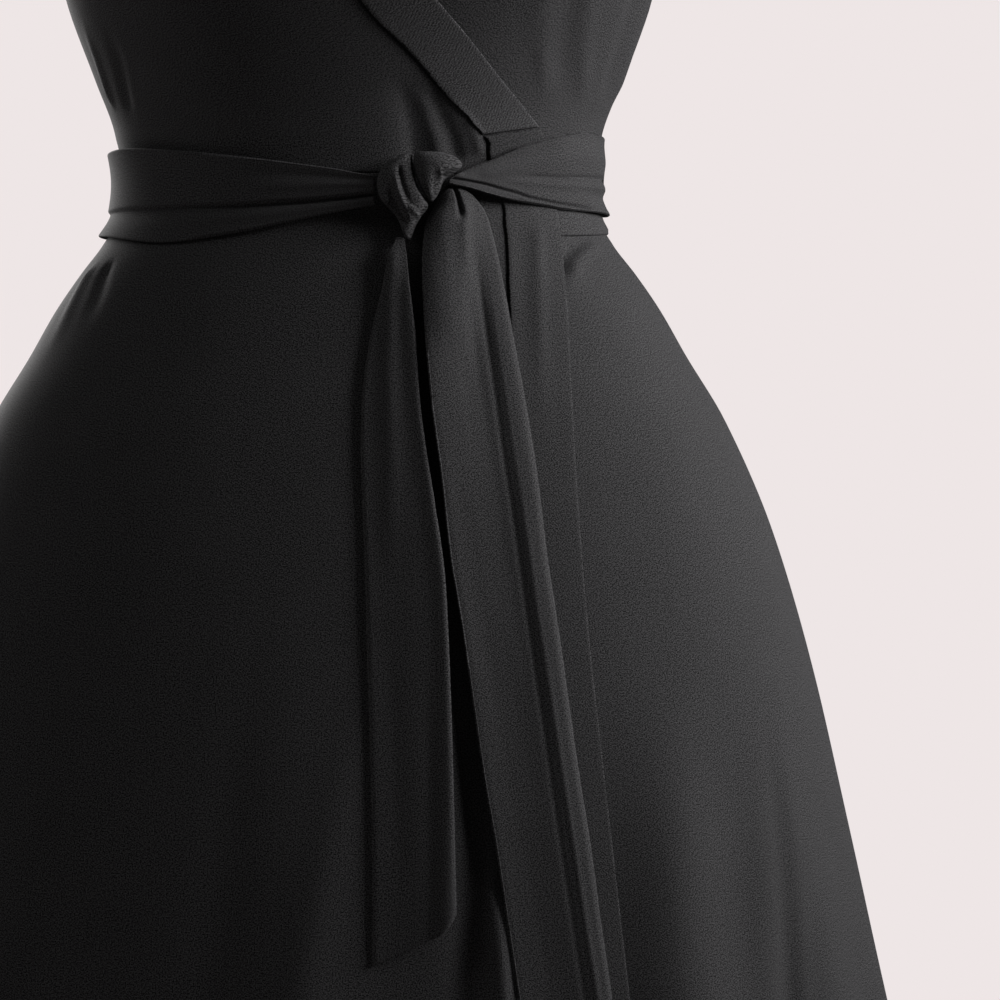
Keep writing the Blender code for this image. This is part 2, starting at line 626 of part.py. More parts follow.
def tail(name, table, out_table, lighten):
    """A hanging end of the sash, slanted at its lower end."""
    left_at = smooth_column(table, TAIL_COLUMNS, "level", "left")
    right_at = smooth_column(table, TAIL_COLUMNS, "level", "right")
    levels = np.array([row[0] for row in table])[:, None]
    share = np.linspace(0, 1, TAIL_CROSS_COLUMNS + 1)[None, :]
    bottom = levels[-1, 0]
    drop = smooth_step(bottom + TAIL_END_TURN, bottom, levels) * TAIL_END_SLANT * (1 - share)
    x = left_at(levels) * (1 - share) + right_at(levels) * share
    out = tail_out(out_table, levels, share)
    level = levels - drop
    angle = angle_of(x, level, out)
    cloth_piece(name, cloth_point(angle, level, out)[::-1], TIE_WALL, lighten)


def lobe(name, table, pleats, lighten):
    """A gathered lobe of the knot: sections one below the other, closed at both ends."""
    values = np.array(table)
    level, x, half_across, out, half_thick = (values[:, i][:, None] for i in range(values.shape[1]))
    around = np.linspace(0, 2 * math.pi, KNOT_SIDES, endpoint=False)[None, :]
    across = np.cos(around)
    pleat = 0.5 - 0.5 * np.cos(math.pi * pleats * (across + 1))
    ripple = 1 - WRAP_PLEAT_DEPTH * pleat
    thick = np.where(np.sin(around) > 0, np.sin(around) * ripple, np.sin(around))
    point_out = out + half_thick * thick
    point_x = x + half_across * across
    level = np.broadcast_to(level, point_x.shape)
    angle = angle_of(point_x, level, point_out)
    points = cloth_point(angle, level, point_out)
    rows = len(table)
    faces = []
    for i in range(rows - 1):
        for j in range(KNOT_SIDES):
            k = (j + 1) % KNOT_SIDES
            upper, lower = i * KNOT_SIDES, (i + 1) * KNOT_SIDES
            faces.append((upper + j, upper + k, lower + k, lower + j))
    faces.append(tuple(range(KNOT_SIDES))[::-1])
    faces.append(tuple((rows - 1) * KNOT_SIDES + j for j in range(KNOT_SIDES)))
    new_object(name, points, faces, lighten)


def main():
    for old in list(bpy.data.objects):
        bpy.data.objects.remove(old)
    bpy.context.scene.collection.children.link(bpy.data.collections.new(DRESS))
    build_back()
    build_under_front()
    build_over_front()
    build_ties()
    tail("tie_end_rear", TAIL_REAR, REAR_OUT, 0.9)
    tail("tie_end_front", TAIL_FRONT, FRONT_OUT, 1.0)
    lobe("knot_wrap", KNOT_WRAP, WRAP_PLEATS, 0.9)
    lobe("knot_lobe", KNOT_LOBE, 0, 1.0)


main()
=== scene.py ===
"""The looks of a sleeveless wrap dress in black crepe jersey, tied with its own sash.

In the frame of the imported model, +Z up: the front faces -Y, the wearer's left is +X and the origin is the
middle of the shoulder line. Each solid of the model gets a fine shell of cloth on the same form, worked
out from the same sections, with its creases, weave and rounded edges. Lengths are in metres, apart from
the tables of the sash and of the creases, which say that they are in millimetres. A level is a place up
the cloth, counted from the waist seam. Angles run from the middle of the front to the wearer's left.
"""

import math
from functools import partial

import bpy
import numpy as np
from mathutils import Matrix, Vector, noise


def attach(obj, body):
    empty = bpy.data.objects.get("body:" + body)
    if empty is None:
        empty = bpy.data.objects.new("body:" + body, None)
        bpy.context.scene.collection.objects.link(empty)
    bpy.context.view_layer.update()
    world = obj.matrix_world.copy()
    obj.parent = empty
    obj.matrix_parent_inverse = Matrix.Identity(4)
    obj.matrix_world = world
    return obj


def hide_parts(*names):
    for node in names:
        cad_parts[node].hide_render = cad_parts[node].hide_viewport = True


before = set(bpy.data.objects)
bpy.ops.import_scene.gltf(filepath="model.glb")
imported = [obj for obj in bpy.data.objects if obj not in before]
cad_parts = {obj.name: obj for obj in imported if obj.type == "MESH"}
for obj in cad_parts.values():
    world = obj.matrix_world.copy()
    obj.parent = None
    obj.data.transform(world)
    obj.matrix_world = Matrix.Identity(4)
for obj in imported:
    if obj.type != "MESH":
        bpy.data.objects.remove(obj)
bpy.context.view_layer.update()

# Driving dimensions, the same as the solids have
SHOULDER_HEIGHT = 0.400
SHOULDER_LEVEL = 0.440
SKIRT_LENGTH = 0.700
WALL = 0.0012
TIE_WALL = 0.0016
SEAM_GAP = 0.0003
LAYER_GAP = 0.0012
HEM_LIFT = 0.0025
NECK_HALF = 0.078
SHOULDER_SLOPE = 0.28
SHOULDER_TURN = 0.22
BAND_WIDTH = 0.030
BAND_JOIN = 0.023
UNDER_BAND_START = 0.1215
OVER_OUT = WALL + LAYER_GAP
OVER_TAPER_ANGLE = 26.0
BAND_LIFT = WALL + SEAM_GAP
EDGE_OUT = OVER_OUT + BAND_LIFT + WALL
LEAST_DEPTH = 0.03
BACK_NECK_DIP = 0.030
BACK_BAND_GAP = 0.0016
UNDER_BAND_GAP = 3 * SEAM_GAP
SINE_LIMIT = 0.999

# Millimetres in a metre
MM = 1000.0

# The sewn edges meet at the side seams and the shoulders
SEAM_TUCK = 0.00008
SHOULDER_TUCK = WALL / 2

# The sections of the dress, from the hem up to the shoulder line
FIGURE_COLUMNS = ("level", "height", "half_width", "front_depth", "back_depth")
FIGURE = (
    (-0.700, -0.700, 0.3300, 0.2250, 0.2400),
    (-0.550, -0.550, 0.3050, 0.2050, 0.2220),
    (-0.450, -0.450, 0.2870, 0.1900, 0.2100),
    (-0.350, -0.350, 0.2670, 0.1750, 0.1960),
    (-0.270, -0.270, 0.2495, 0.1600, 0.1820),
    (-0.190, -0.190, 0.2262, 0.1430, 0.1650),
    (-0.130, -0.130, 0.2000, 0.1280, 0.1480),
    (-0.095, -0.095, 0.1790, 0.1180, 0.1340),
    (-0.070, -0.070, 0.1650, 0.1110, 0.1220),
    (-0.050, -0.050, 0.1515, 0.1050, 0.1120),
    (-0.034, -0.034, 0.1392, 0.1000, 0.1030),
    (-0.018, -0.018, 0.1300, 0.0965, 0.0925),
    (0.000, 0.000, 0.1280, 0.0950, 0.0880),
    (0.028, 0.028, 0.1325, 0.0960, 0.0880),
    (0.058, 0.058, 0.1435, 0.0995, 0.0910),
    (0.102, 0.102, 0.1594, 0.1070, 0.0970),
    (0.150, 0.150, 0.1700, 0.1130, 0.1030),
    (0.205, 0.205, 0.1720, 0.1100, 0.1070),
    (0.255, 0.254, 0.1725, 0.0980, 0.1070),
    (0.300, 0.296, 0.1740, 0.0820, 0.1020),
    (0.340, 0.331, 0.1770, 0.0630, 0.0900),
    (0.375, 0.359, 0.1810, 0.0420, 0.0680),
    (0.405, 0.380, 0.1860, 0.0220, 0.0400),
    (0.430, 0.394, 0.1900, 0.0060, 0.0120),
    (SHOULDER_LEVEL, SHOULDER_HEIGHT, 0.1900, -SHOULDER_TUCK, -SHOULDER_TUCK),
)

# Fullness that the darts give over the chest
DART_ANGLE = 34.0
DART_LEVEL = 0.152
DART_DEPTH = 0.017
DART_HALF_ANGLE = 21.0
DART_HALF_HEIGHT = 0.050

# Soft folds of the skirt, each by its angle, half angle, depth and top: it fades in below its top and is
# deepest at the hem
FOLDS = (
    (-172.0, 9.0, 0.016, -0.12),
    (-150.0, 8.0, 0.021, -0.20),
    (-128.0, 9.0, 0.017, -0.14),
    (-107.0, 7.0, 0.013, -0.24),
    (-84.0, 8.0, 0.015, -0.28),
    (-61.0, 8.0, 0.018, -0.20),
    (-38.0, 7.0, 0.013, -0.26),
    (-5.0, 6.5, 0.015, -0.24),
    (17.0, 5.5, 0.010, -0.32),
    (40.0, 7.5, 0.014, -0.30),
    (62.0, 6.5, 0.013, -0.26),
    (81.0, 6.0, 0.012, -0.28),
    (103.0, 8.0, 0.016, -0.22),
    (126.0, 8.0, 0.018, -0.16),
    (147.0, 7.0, 0.013, -0.24),
    (168.0, 8.0, 0.018, -0.18),
)

# The free edge of the over front: the crossed neckline, then the front edge down to the hem
EDGE_COLUMNS = ("level", "x")
EDGE = (
    (-0.700, 0.1740),
    (-0.550, 0.1580),
    (-0.406, 0.1419),
    (-0.312, 0.1314),
    (-0.242, 0.1243),
    (-0.169, 0.1189),
    (-0.110, 0.1161),
    (-0.078, 0.1147),
    (-0.035, 0.1112),
    (-0.017, 0.1086),
    (0.000, 0.1055),
    (0.020, 0.1005),
    (0.032, 0.0924),
    (0.050, 0.0790),
    (0.071, 0.0627),
    (0.090, 0.0459),
    (0.142, 0.0000),
    (0.180, -0.0250),
    (0.220, -0.0440),
    (0.260, -0.0560),
    (0.300, -0.0640),
    (0.360, -0.0730),
    (SHOULDER_LEVEL, -NECK_HALF),
)

# The band is drawn narrower where the neckline ends at the waist
BAND_WIDTH_COLUMNS = ("level", "width")
BAND_WIDTHS = (
    (-SKIRT_LENGTH, 0.0312),
    (-0.062, 0.0316),
    (-0.042, 0.0309),
    (-0.022, 0.0324),
    (0.005, 0.0322),
    (0.0134, 0.0302),
    (0.0197, 0.0266),
    (0.0262, 0.0230),
    (0.042, 0.0256),
    (0.063, 0.0280),
    (0.085, BAND_WIDTH),
    (SHOULDER_LEVEL, BAND_WIDTH),
)

# Where each front and the back end at the side: the side seam, then the armhole
ARMHOLE_COLUMNS = ("level", "angle")
ARMHOLE = (
    (-SKIRT_LENGTH, 90.0),
    (0.200, 90.0),
    (0.205, 88.0),
    (0.218, 75.0),
    (0.240, 66.0),
    (0.275, 60.5),
    (0.315, 58.5),
    (0.355, 59.5),
    (0.395, 61.5),
    (SHOULDER_LEVEL, 64.0),
)

# The sash, in millimetres. Its two ties, each as the angles that it passes in degrees, its two edges and
# how far out it lies.
TIE_COLUMNS = ("angle", "low", "high", "out")
TIE_FROM_OVER_FRONT = (
    (55, -32.2, 12, 2.3),
    (70, -30.4, 11, 2.3),
    (90, -28.2, 11, 2.3),
    (120, -30, 9, 2.4),
    (150, -40, -1, 2.5),
    (180, -43, -2, 3),
    (210, -40, -1, 4.8),
    (240, -33, 12, 5),
    (270, -32, 18, 5),
    (290, -33.5, 18.5, 5),
    (316, -38, 14.2, 4.6),
    (335, -33, 9, 4.6),
    (347.5, -26.8, 4.9, 5.2),
    (357, -22.6, 1.4, 7.2),
    (364.8, -19.6, -2.8, 10.8),
)
TIE_FROM_UNDER_FRONT = (
    (21, -7.4, -5, 14.6),
    (22.3, -8.2, -2, 14.5),
    (23.5, -8.8, 0, 14.3),
    (26, -9.8, 2.6, 13.3),
    (28, -10.8, 4.4, 12.2),
    (33, -13.3, 8.8, 10.2),
    (40, -15.5, 16, 8.2),
    (48, -16.7, 21, 6.7),
    (55, -17.9, 24.5, 6.1),
    (64, -18.1, 26, 5.6),
    (76, -18.6, 26.6, 5.1),
    (90, -19, 26.3, 5),
    (120, -12, 29, 5),
    (150, 1.5, 38, 4.8),
    (180, 2, 43, 3.2),
    (196, 1.5, 41, 2.5),
    (210, 1, 38, 2.4),
    (240, -16, 26, 2.4),
    (267, -22, 20, 2.2),
)

# The two ends of the sash below the knot, in millimetres: their left and right edges
TAIL_COLUMNS = ("level", "left", "right")
TAIL_FRONT = (
    (-10, 50, 59),
    (-13.4, 47, 64.5),
    (-21.5, 43.4, 70.5),
    (-33, 39.2, 74.5),
    (-53, 38, 79.2),
    (-90, 39.5, 86.2),
    (-127, 42.8, 93),
    (-163, 47.8, 98.7),
    (-203, 52.3, 103.5),
    (-240, 58.5, 109.2),
    (-280, 64.3, 114.8),
    (-318, 70, 120.3),
    (-352, 76, 125.8),
    (-389, 81.5, 130.8),
    (-427, 86.8, 136.3),
    (-465, 91.5, 140.8),
    (-500, 95, 144),
)
TAIL_REAR = (
    (-38, 23.2, 27.5),
    (-48, 19, 29.2),
    (-65, 15.5, 30.8),
    (-90, 9.5, 34),
    (-122, 5.6, 36.2),
    (-148, 5.2, 39.5),
    (-175, 6.2, 44),
    (-218, 8, 50),
    (-260, 9.4, 52.2),
    (-317, 11.2, 54.2),
    (-360, 12, 55.3),
    (-393, 12, 56.2),
)

# How far out each end lies, in millimetres, at these shares of its width. The front one falls from its
# left part to a valley, and rises from there to a fold beside its right edge.
OUT_SHARES = (0.0, 0.14, 0.28, 0.42, 0.56, 0.70, 0.85, 1.0)
OUT_COLUMNS = ("level", *OUT_SHARES)
FRONT_OUT = (
    (-10, 12.2, 12.8, 13, 13, 12.8, 12.6, 12.3, 12),
    (-16, 12, 13.6, 14.4, 14.4, 13.8, 12.6, 11, 9.6),
    (-31, 13.8, 16, 16.8, 16.4, 15.2, 12.8, 10.4, 8.6),
    (-57, 15.2, 15.8, 15.5, 14.2, 11.6, 8.9, 8.3, 7.4),
    (-83, 15.6, 15.7, 15.1, 13.2, 9.8, 8.1, 8.8, 7.8),
    (-98, 15.2, 14.6, 13.2, 10.9, 8.3, 8, 9.1, 8.1),
    (-118, 14.2, 12.9, 11.2, 9.1, 7.7, 7.9, 8.9, 7.9),
    (-145, 13.4, 11.9, 10.4, 8.7, 7.6, 7.9, 8.9, 7.9),
    (-170, 12, 10.6, 9.3, 8, 7.2, 7.8, 8.9, 8),
    (-200, 11.2, 10, 8.8, 7.7, 7.1, 7.8, 9.1, 8.1),
    (-240, 10.4, 9.2, 8.1, 7.4, 7.2, 8, 9.4, 8.5),
    (-273, 9.8, 8.7, 7.6, 7.3, 7.6, 8.5, 9.8, 8.9),
    (-314, 9.5, 8.5, 7.8, 7.7, 8.2, 9.1, 10.1, 9.2),
    (-360, 9.2, 8.3, 8, 8.5, 9.3, 10.2, 11, 10.1),
    (-420, 9, 8.3, 8.2, 8.8, 9.8, 10.8, 11.6, 10.7),
    (-500, 9, 8.3, 8.2, 8.8, 9.8, 10.8, 11.6, 10.7),
)
REAR_OUT = (
    (-38, 9.3, 9.4, 9.4, 9.5, 9.5, 9.6, 9.6, 9.6),
    (-48, 8.2, 8.4, 8.7, 8.9, 9.1, 9.3, 9.5, 9.6),
    (-90, 5.6, 6, 6.7, 7.5, 8.3, 9, 9.6, 9.8),
    (-148, 5.4, 5.8, 6.6, 7.5, 8.5, 9.3, 9.9, 10.1),
    (-260, 5.7, 6.1, 6.8, 7.7, 8.7, 9.5, 10.1, 10.3),
    (-393, 6, 6.4, 7, 7.9, 8.8, 9.6, 10.2, 10.4),
)

# The knot, in millimetres: each lobe as a row of sections, its middle across and its half sizes
LOBE_COLUMNS = ("level", "x", "half_across", "out", "half_thick")
KNOT_WRAP = (
    (10, 30, 2, 12, 3),
    (6.5, 26.7, 5.4, 12.2, 6),
    (1, 23.8, 8.9, 12.4, 7.4),
    (-5, 23.5, 10.4, 12.5, 7.9),
    (-11, 24.6, 11.3, 12.6, 8),
    (-17, 27.6, 12.1, 12.5, 7.7),
    (-20, 29.4, 11.1, 12.2, 7.2),
    (-22.5, 30, 9.7, 12, 6.8),
    (-26, 30, 7, 11.5, 6),
    (-31, 29.9, 4.2, 10.6, 4.6),
    (-35.5, 29.8, 2.5, 9.8, 3.4),
    (-39, 29.7, 1.3, 9.2, 2.2),
)
KNOT_LOBE = (
    (11.2, 41, 6, 13, 4),
    (8.5, 44.4, 11.4, 13.4, 7.4),
    (4, 45.7, 13.2, 13.5, 8.6),
    (0.5, 44.3, 11.3, 13.5, 8.6),
    (-3, 42.7, 8.7, 13.5, 8.2),
    (-7.5, 41.9, 6.4, 13.6, 7.4),
    (-12, 42.1, 4.5, 13.8, 5.8),
    (-15, 42.4, 2.6, 13.8, 4.2),
    (-17.2, 42, 1.1, 13.6, 2.4),
)

# Creases, in millimetres. Each has the height of its ridge (negative for a trough) and its half width, both
# at its first and last point, the share of its length over which each end fades, and its points: x and
# level in front and on the sash, the angle in degrees and the level round the waist. The under front also
# shows the troughs of the over front.
FRONT_CREASES = {
    "over": (
        # gathered in above the knot, beside the neck band
        ((-0.8, -3.2), (10, 12), (0.4, 0), ((25, 62), (29, 43.5), (32.5, 33), (34.5, 23), (36, 10),
         (37, -4))),
        ((-0.4, -1.3), (4, 4), (0.3, 0), ((22.5, 54), (25.2, 43.5), (28.3, 32.9), (29.7, 26.6), (31, 19.7),
         (32.2, 6))),
        ((0.6, 1.3), (3.4, 3.4), (0.3, 0), ((33, 46), (37.8, 32.9), (39.6, 26.6), (41.8, 19.7), (44, 10))),
        ((-0.8, -2.4), (3.8, 4.2), (0.3, 0), ((37.5, 50), (41.2, 43.5), (45.5, 32.9), (48, 26.6),
         (50.8, 19.7), (53.5, 10))),
        ((0.6, 1.4), (4.6, 3), (0.4, 0), ((50, 50), (54.5, 42), (58.5, 32.9), (61.8, 24), (65, 13))),
        # along the edge band
        ((1.2, 0.4), (3, 5), (0.1, 0.5), ((94.5, -24), (95.1, -33), (96.1, -63), (97, -95), (98.5, -150))),
        ((-0.3, -0.2), (3, 5), (0.1, 0.5), ((86, -22), (86.8, -45), (88.5, -80), (90.5, -120))),
        # long soft folds beside and between the hanging ends
        ((1, 4.2), (8, 20), (0.3, 0), ((8.5, -230), (2.5, -285), (-5.4, -327), (-14.2, -376), (-22.4, -426),
         (-33, -500), (-48, -620), (-56, -700))),
        ((6, 8.5), (5.5, 12), (0.2, 0), ((69, -340), (72.2, -375), (75, -395), (76.5, -415), (83, -520),
         (93, -700))),
        ((-3, -5), (7.5, 10), (0.25, 0), ((56, -230), (57.5, -274), (63.5, -353), (60, -394), (57.5, -430),
         (62, -700))),
        ((-0.6, -2.8), (10, 18), (0.4, 0), ((-45, -180), (-52, -260), (-61, -340), (-70, -430), (-90, -700))),
    ),
    "under": (
        # soft folds of the under front, over the wearer's left side
        ((1.2, 0.8), (5, 4), (0.2, 0.3), ((96, 115), (96.6, 93), (98.8, 62), (101.6, 36))),
        ((-1, -0.8), (6, 5), (0.2, 0.3), ((112, 125), (111, 90), (110.5, 60), (110, 35))),
        ((1.3, 1), (5, 4), (0.2, 0.3), ((124, 125), (122.4, 95), (121.5, 64), (120.7, 33))),
        ((-1.4, -1.2), (3.4, 3), (0.2, 0.2), ((153, 125), (148.9, 98), (140.3, 71.5), (131.8, 40))),
        ((1.2, 1), (2.6, 2.2), (0.2, 0.2), ((160, 125), (156.3, 99.7), (147.1, 72.9), (138.8, 41.5))),
        # pinched in below the belt, beside the free edge
        ((-2.9, -1.2), (4.2, 3), (0.25, 0.3), ((107.5, -56), (110.6, -45.2), (115.6, -38.9), (126.1, -30.8))),
        ((2.2, 2), (5, 4), (0.4, 0.2), ((113, -64), (116.5, -47.1), (122.6, -39.7), (131.7, -31.5))),
        # a broad fold comes out from beneath the free edge low down
        ((6, 9), (23, 27), (0.28, 0), ((166, -250), (166.5, -350), (166, -380), (165.5, -420), (175, -540),
         (185, -700))),
        ((1.2, 2), (9, 10), (0.25, 0), ((212, -290), (215, -350), (215, -420), (225, -700))),
        # narrow streaks over the hip
        ((0.4, 1.2), (4, 5), (0.3, 0.2), ((225, -270), (228, -307), (232.5, -364), (235.2, -436),
         (238, -520))),
        ((-0.4, -1.2), (4, 5), (0.3, 0.2), ((215, -270), (219.4, -311), (224, -369), (227.4, -436),
         (230, -520))),
    ),
}
ROUND_CREASES = {
    "all": (
        # gathered in towards the belt at the back and over the sides
        ((0.4, 2.2), (10, 5), (0.5, 0.1), ((205, 120), (202, 80), (199, 50))),
        ((-0.4, -2.4), (9, 4.5), (0.5, 0.1), ((196, 110), (195, 80), (193, 50))),
        ((-0.4, -2), (8, 4.5), (0.5, 0.1), ((168, 130), (170, 90), (173, 52))),
        ((0.4, 2), (8, 4.5), (0.5, 0.1), ((158, 120), (162, 80), (165, 50))),
        ((-0.3, -1.8), (8, 4), (0.5, 0.1), ((140, 100), (143, 70), (146, 46))),
        ((-0.3, -2), (8, 4), (0.5, 0.1), ((226, 105), (222, 70), (219, 44))),
        ((0.4, 1.8), (7, 4), (0.5, 0.1), ((248, 100), (245, 65), (243, 40))),
        ((-0.4, -1.8), (8, 4.5), (0.5, 0.1), ((262, 90), (259, 60), (257, 36))),
        ((2.4, 0.4), (4.5, 12), (0.1, 0.5), ((186, -52), (188, -90), (190, -150))),
        ((-2.6, -0.4), (4.5, 11), (0.1, 0.5), ((176, -50), (175, -90), (174, -140))),
        ((2.2, 0.4), (4.5, 11), (0.1, 0.5), ((158, -46), (156, -85), (153, -150))),
        ((-2.2, -0.4), (4, 10), (0.1, 0.5), ((214, -46), (217, -80), (220, -130))),
        ((2, 0.4), (4, 10), (0.1, 0.5), ((232, -42), (235, -80), (238, -140))),
        ((-2, -0.4), (4, 9), (0.1, 0.5), ((132, -40), (129, -70), (126, -110))),
        # from the darts, and towards the armholes
        ((-1.6, -0.4), (6, 5), (0.3, 0.4), ((60, 170), (66, 195), (72, 215))),
        ((-1.6, -0.4), (6, 5), (0.3, 0.4), ((-60, 170), (-66, 195), (-72, 215))),
        ((1.2, 1.6), (8, 9), (0.4, 0.4), ((150, 330), (148, 280), (150, 220))),
        ((1.2, 1.6), (8, 9), (0.4, 0.4), ((210, 330), (212, 280), (210, 220))),
    ),
    "over": (
        # drawn in over the wearer's right, mirrored from what shows on the left
        ((-0.8, -2.4), (6, 4), (0.4, 0.2), ((-58, 85), (-60, 58), (-63, 36))),
        ((0.8, 1.8), (6, 4), (0.4, 0.2), ((-70, 90), (-71, 60), (-72, 38))),
        ((-2.8, -0.6), (4, 7), (0.15, 0.5), ((-62, -46), (-58, -62), (-54, -85))),
        ((2, 0.4), (4.5, 8), (0.15, 0.5), ((-70, -46), (-67, -68), (-64, -100))),
        # from the darts, and towards the armholes
        ((-1.2, -1.8), (7, 6), (0.4, 0.4), ((-30, 300), (-38, 270), (-46, 240))),
    ),
    "under": (
        # from the darts, and towards the armholes
        ((-1.2, -1.8), (7, 6), (0.4, 0.4), ((30, 300), (38, 270), (46, 240))),
    ),
}

# The belt's lower edge stands proud at the wearer's left, with a hollow above it
BELT_CORNER = (
    ((0.4, 2.6), (3, 3.8), (0.5, 0), ((115, -16.5), (123, -17.4), (130, -18), (145, -18.2))),
    ((-0.2, -1.6), (3, 3.6), (0.5, 0), ((110, -5.5), (120, -7.5), (130, -8.2), (145, -8.2))),
)
TIE_CREASES = {
    "tie_under_front": (
        # the line above the rolled lower edge, and the edge turned in below it
        ((-2.1, -1.3), (0.7, 1), (0, 0.1), ((48, -4.2), (55.8, -5.4), (61.2, -6.2), (66.6, -7.2), (72, -8.8),
         (77.3, -9.9), (82.9, -11.3), (88.3, -13), (96.5, -14.2), (104.7, -15.3), (115.5, -16.2),
         (125.6, -17.1))),
        ((-0.3, -2.2), (1.6, 2), (0.3, 0.25), ((69.7, -13.7), (82.3, -16), (95.1, -17.3), (104.9, -18.5),
         (115, -18.8), (124, -19.3))),
        ((-0.7, -1.2), (1.2, 1.6), (0.3, 0), ((77.5, -2.7), (90.3, -0.4), (104.3, -0.1), (131.3, 2.8))),
        ((0.6, 0.9), (2, 3), (0.3, 0), ((70, -3), (90.3, -4.5), (104.3, -4.5), (130, -3))),
        ((-1, -0.3), (1.6, 5), (0, 0.5), ((54.5, -0.5), (64, 3.5), (76, 9), (95, 15))),
        ((0.8, 0.6), (3, 6), (0.1, 0.4), ((60, -1), (76, 3), (95, 8), (120, 12))),
    ) + BELT_CORNER,
    "tie_under_back": BELT_CORNER,
    # the lower edge of the first stretch lies close on the skirt
    "tie_over_start": (
        ((-1.6, -1.2), (2, 2), (0, 0), ((98, -32.6), (111, -31.4), (123, -30.2), (140, -28.6))),
    ),
    "tie_over_front": (
        ((-1.2, -1.8), (1.6, 1.2), (0.2, 0), ((-120, -19), (-90.1, -18.6), (-57.2, -18.4), (-17.6, -16.2),
         (12.5, -13.4))),
        ((1.2, 1), (5, 2), (0.3, 0), ((-120, -26), (-90, -27), (-55, -24.5), (-20, -20.5), (12.5, -16))),
        ((-0.3, -0.9), (4, 1.4), (0.4, 0), ((-70, 1), (-30, -1), (0, -4), (15, -5.5))),
        ((0.4, 0.8), (4, 1.4), (0.4, 0), ((-70, -8), (-30, -7.5), (0, -7.5), (15, -8))),
    ),
}
TAIL_CREASES = {
    "tie_end_front": (
        # the valley beside the fold on the right, and the fold's crisp crest
        ((-0.9, -0.6), (1.5, 1.8), (0.1, 0.1), ((66, -45), (68.7, -70), (72.2, -96.5), (76, -122),
         (79.5, -147.5), (83.5, -173), (88, -203.6), (92, -234), (98.2, -275), (104, -314), (110, -355),
         (116, -395), (126, -460))),
        ((0.3, 0.8), (1.8, 2), (0.1, 0.1), ((71, -45), (73.7, -70), (77, -96.5), (81.2, -122), (85, -147.5),
         (89.2, -173), (93.7, -203.6), (97.7, -234), (104.2, -275), (110.2, -314), (116.5, -355),
         (122.5, -395), (133, -460))),
        # the roll that comes down from the knot, right of the hollow
        ((1.4, 0.5), (2.6, 4), (0.15, 0.5), ((58.5, -14), (59.8, -20), (60.2, -28), (60.4, -40), (60.8, -60),
         (62, -85))),
        # its left part rolls back towards the edge
        ((-3.6, -1.2), (9, 8), (0, 0.3), ((40.5, -16), (36.2, -33), (35, -53), (35.7, -75), (37.5, -108))),
        # the hollow under the knot
        ((-2.4, -3.4), (0.8, 1.9), (0.08, 0.32), ((53.8, -8.8), (55.3, -12), (56.6, -16), (57.6, -21.5),
         (58.3, -26.2), (58.7, -32))),
        # soft undulations lower down
        ((-0.3, -0.4), (6, 7), (0.3, 0.3), ((56, -150), (60, -190), (68, -240), (76, -300))),
    ),
    "tie_end_rear": (
        # a soft ridge down its middle
        ((1.9, 0.5), (4.4, 5.5), (0.05, 0.3), ((22.2, -40), (21.2, -55), (20, -70), (19.8, -94), (19.6, -110),
         (20.4, -131), (21.2, -165), (22, -230))),
        # its right edge stands forward
        ((1.8, 2.7), (5, 6.8), (0.05, 0), ((30, -50), (31.8, -80), (36.2, -122), (40, -148), (44, -175),
         (49.5, -218), (51.5, -260), (52.5, -317), (51.8, -360), (51.2, -410))),
        ((-0.4, -0.7), (3.5, 4), (0.3, 0), ((40, -260), (41.8, -320), (42.5, -360), (43, -410))),
        ((-0.3, -0.5), (5, 6), (0.3, 0.2), ((19, -230), (23, -300), (26, -380))),
    ),
}
# The folds of the knot come down from the top and draw together at the bottom
WRAP_CREASES = (
    # the deep groove beside the second fold, and the light edge on its left
    ((-2.4, -1.8), (1.4, 1.8), (0.18, 0.35), ((24.4, 4.5), (25.2, -1), (26.6, -7.1), (29, -13.9),
     (31.8, -20))),
    ((1, 0.8), (1.4, 1.4), (0.2, 0.3), ((22.2, 1), (22.7, -4), (24.1, -10.5), (26.6, -17), (30.5, -24))),
    # the broad fold that runs beside the upper lobe
    ((0.8, 1.4), (2, 1.8), (0.15, 0.25), ((30, 8), (30.6, 1), (32.2, -8), (35.2, -14.5), (37.8, -19))),
    # the rim of the outermost fold, and the hollow inside it
    ((1, 1), (1.2, 1.2), (0.2, 0.1), ((14.6, -4), (16, -12.5), (20, -20.5), (24.8, -28), (29.4, -36))),
    ((-1.4, -2), (2.2, 2.2), (0.3, 0.1), ((19, -5), (20.5, -13), (24.3, -21.5), (29, -29))),
    ((0.8, 1), (1.3, 1.2), (0.3, 0.2), ((28.5, -17), (31.5, -20.5), (34.5, -23.8), (36.4, -26.2))),
)
LOBE_CREASES = (
    # the crease across the top, towards the tie, with its light lower side
    ((-0.6, -1.1), (0.7, 0.8), (0.3, 0.35), ((48.5, 3), (51, 4), (54, 4.5), (57, 4.2))),
    ((0.5, 0.3), (1.2, 1.2), (0.3, 0.5), ((48, 0.8), (52, 2), (56, 2.4))),
    # the narrow ridge down its right part
    ((0.8, 0.7), (0.9, 0.9), (0.2, 0.2), ((46, 3), (46.1, -3), (45.9, -7.5), (45, -12.5))),
    ((-0.6, -0.5), (1.2, 0.9), (0.25, 0.1), ((48.8, 0), (48.4, -4), (47.4, -9))),
    # a soft crease down its left part
    ((-0.4, -0.6), (1.4, 1.1), (0.3, 0.2), ((43.2, 4), (43.2, -2), (42.8, -8), (42, -13))),
)
# The upper part of the left stretch of the sash lies over its lower part along this line, in millimetres
TIE_STEP = ((-130, -17.2), (-90.1, -17), (-57.2, -17), (-17.6, -14.8), (12.5, -12.2), (25, -11))

# The neck band holds its seam free of creases over this width
BAND_HOLD = 0.0022

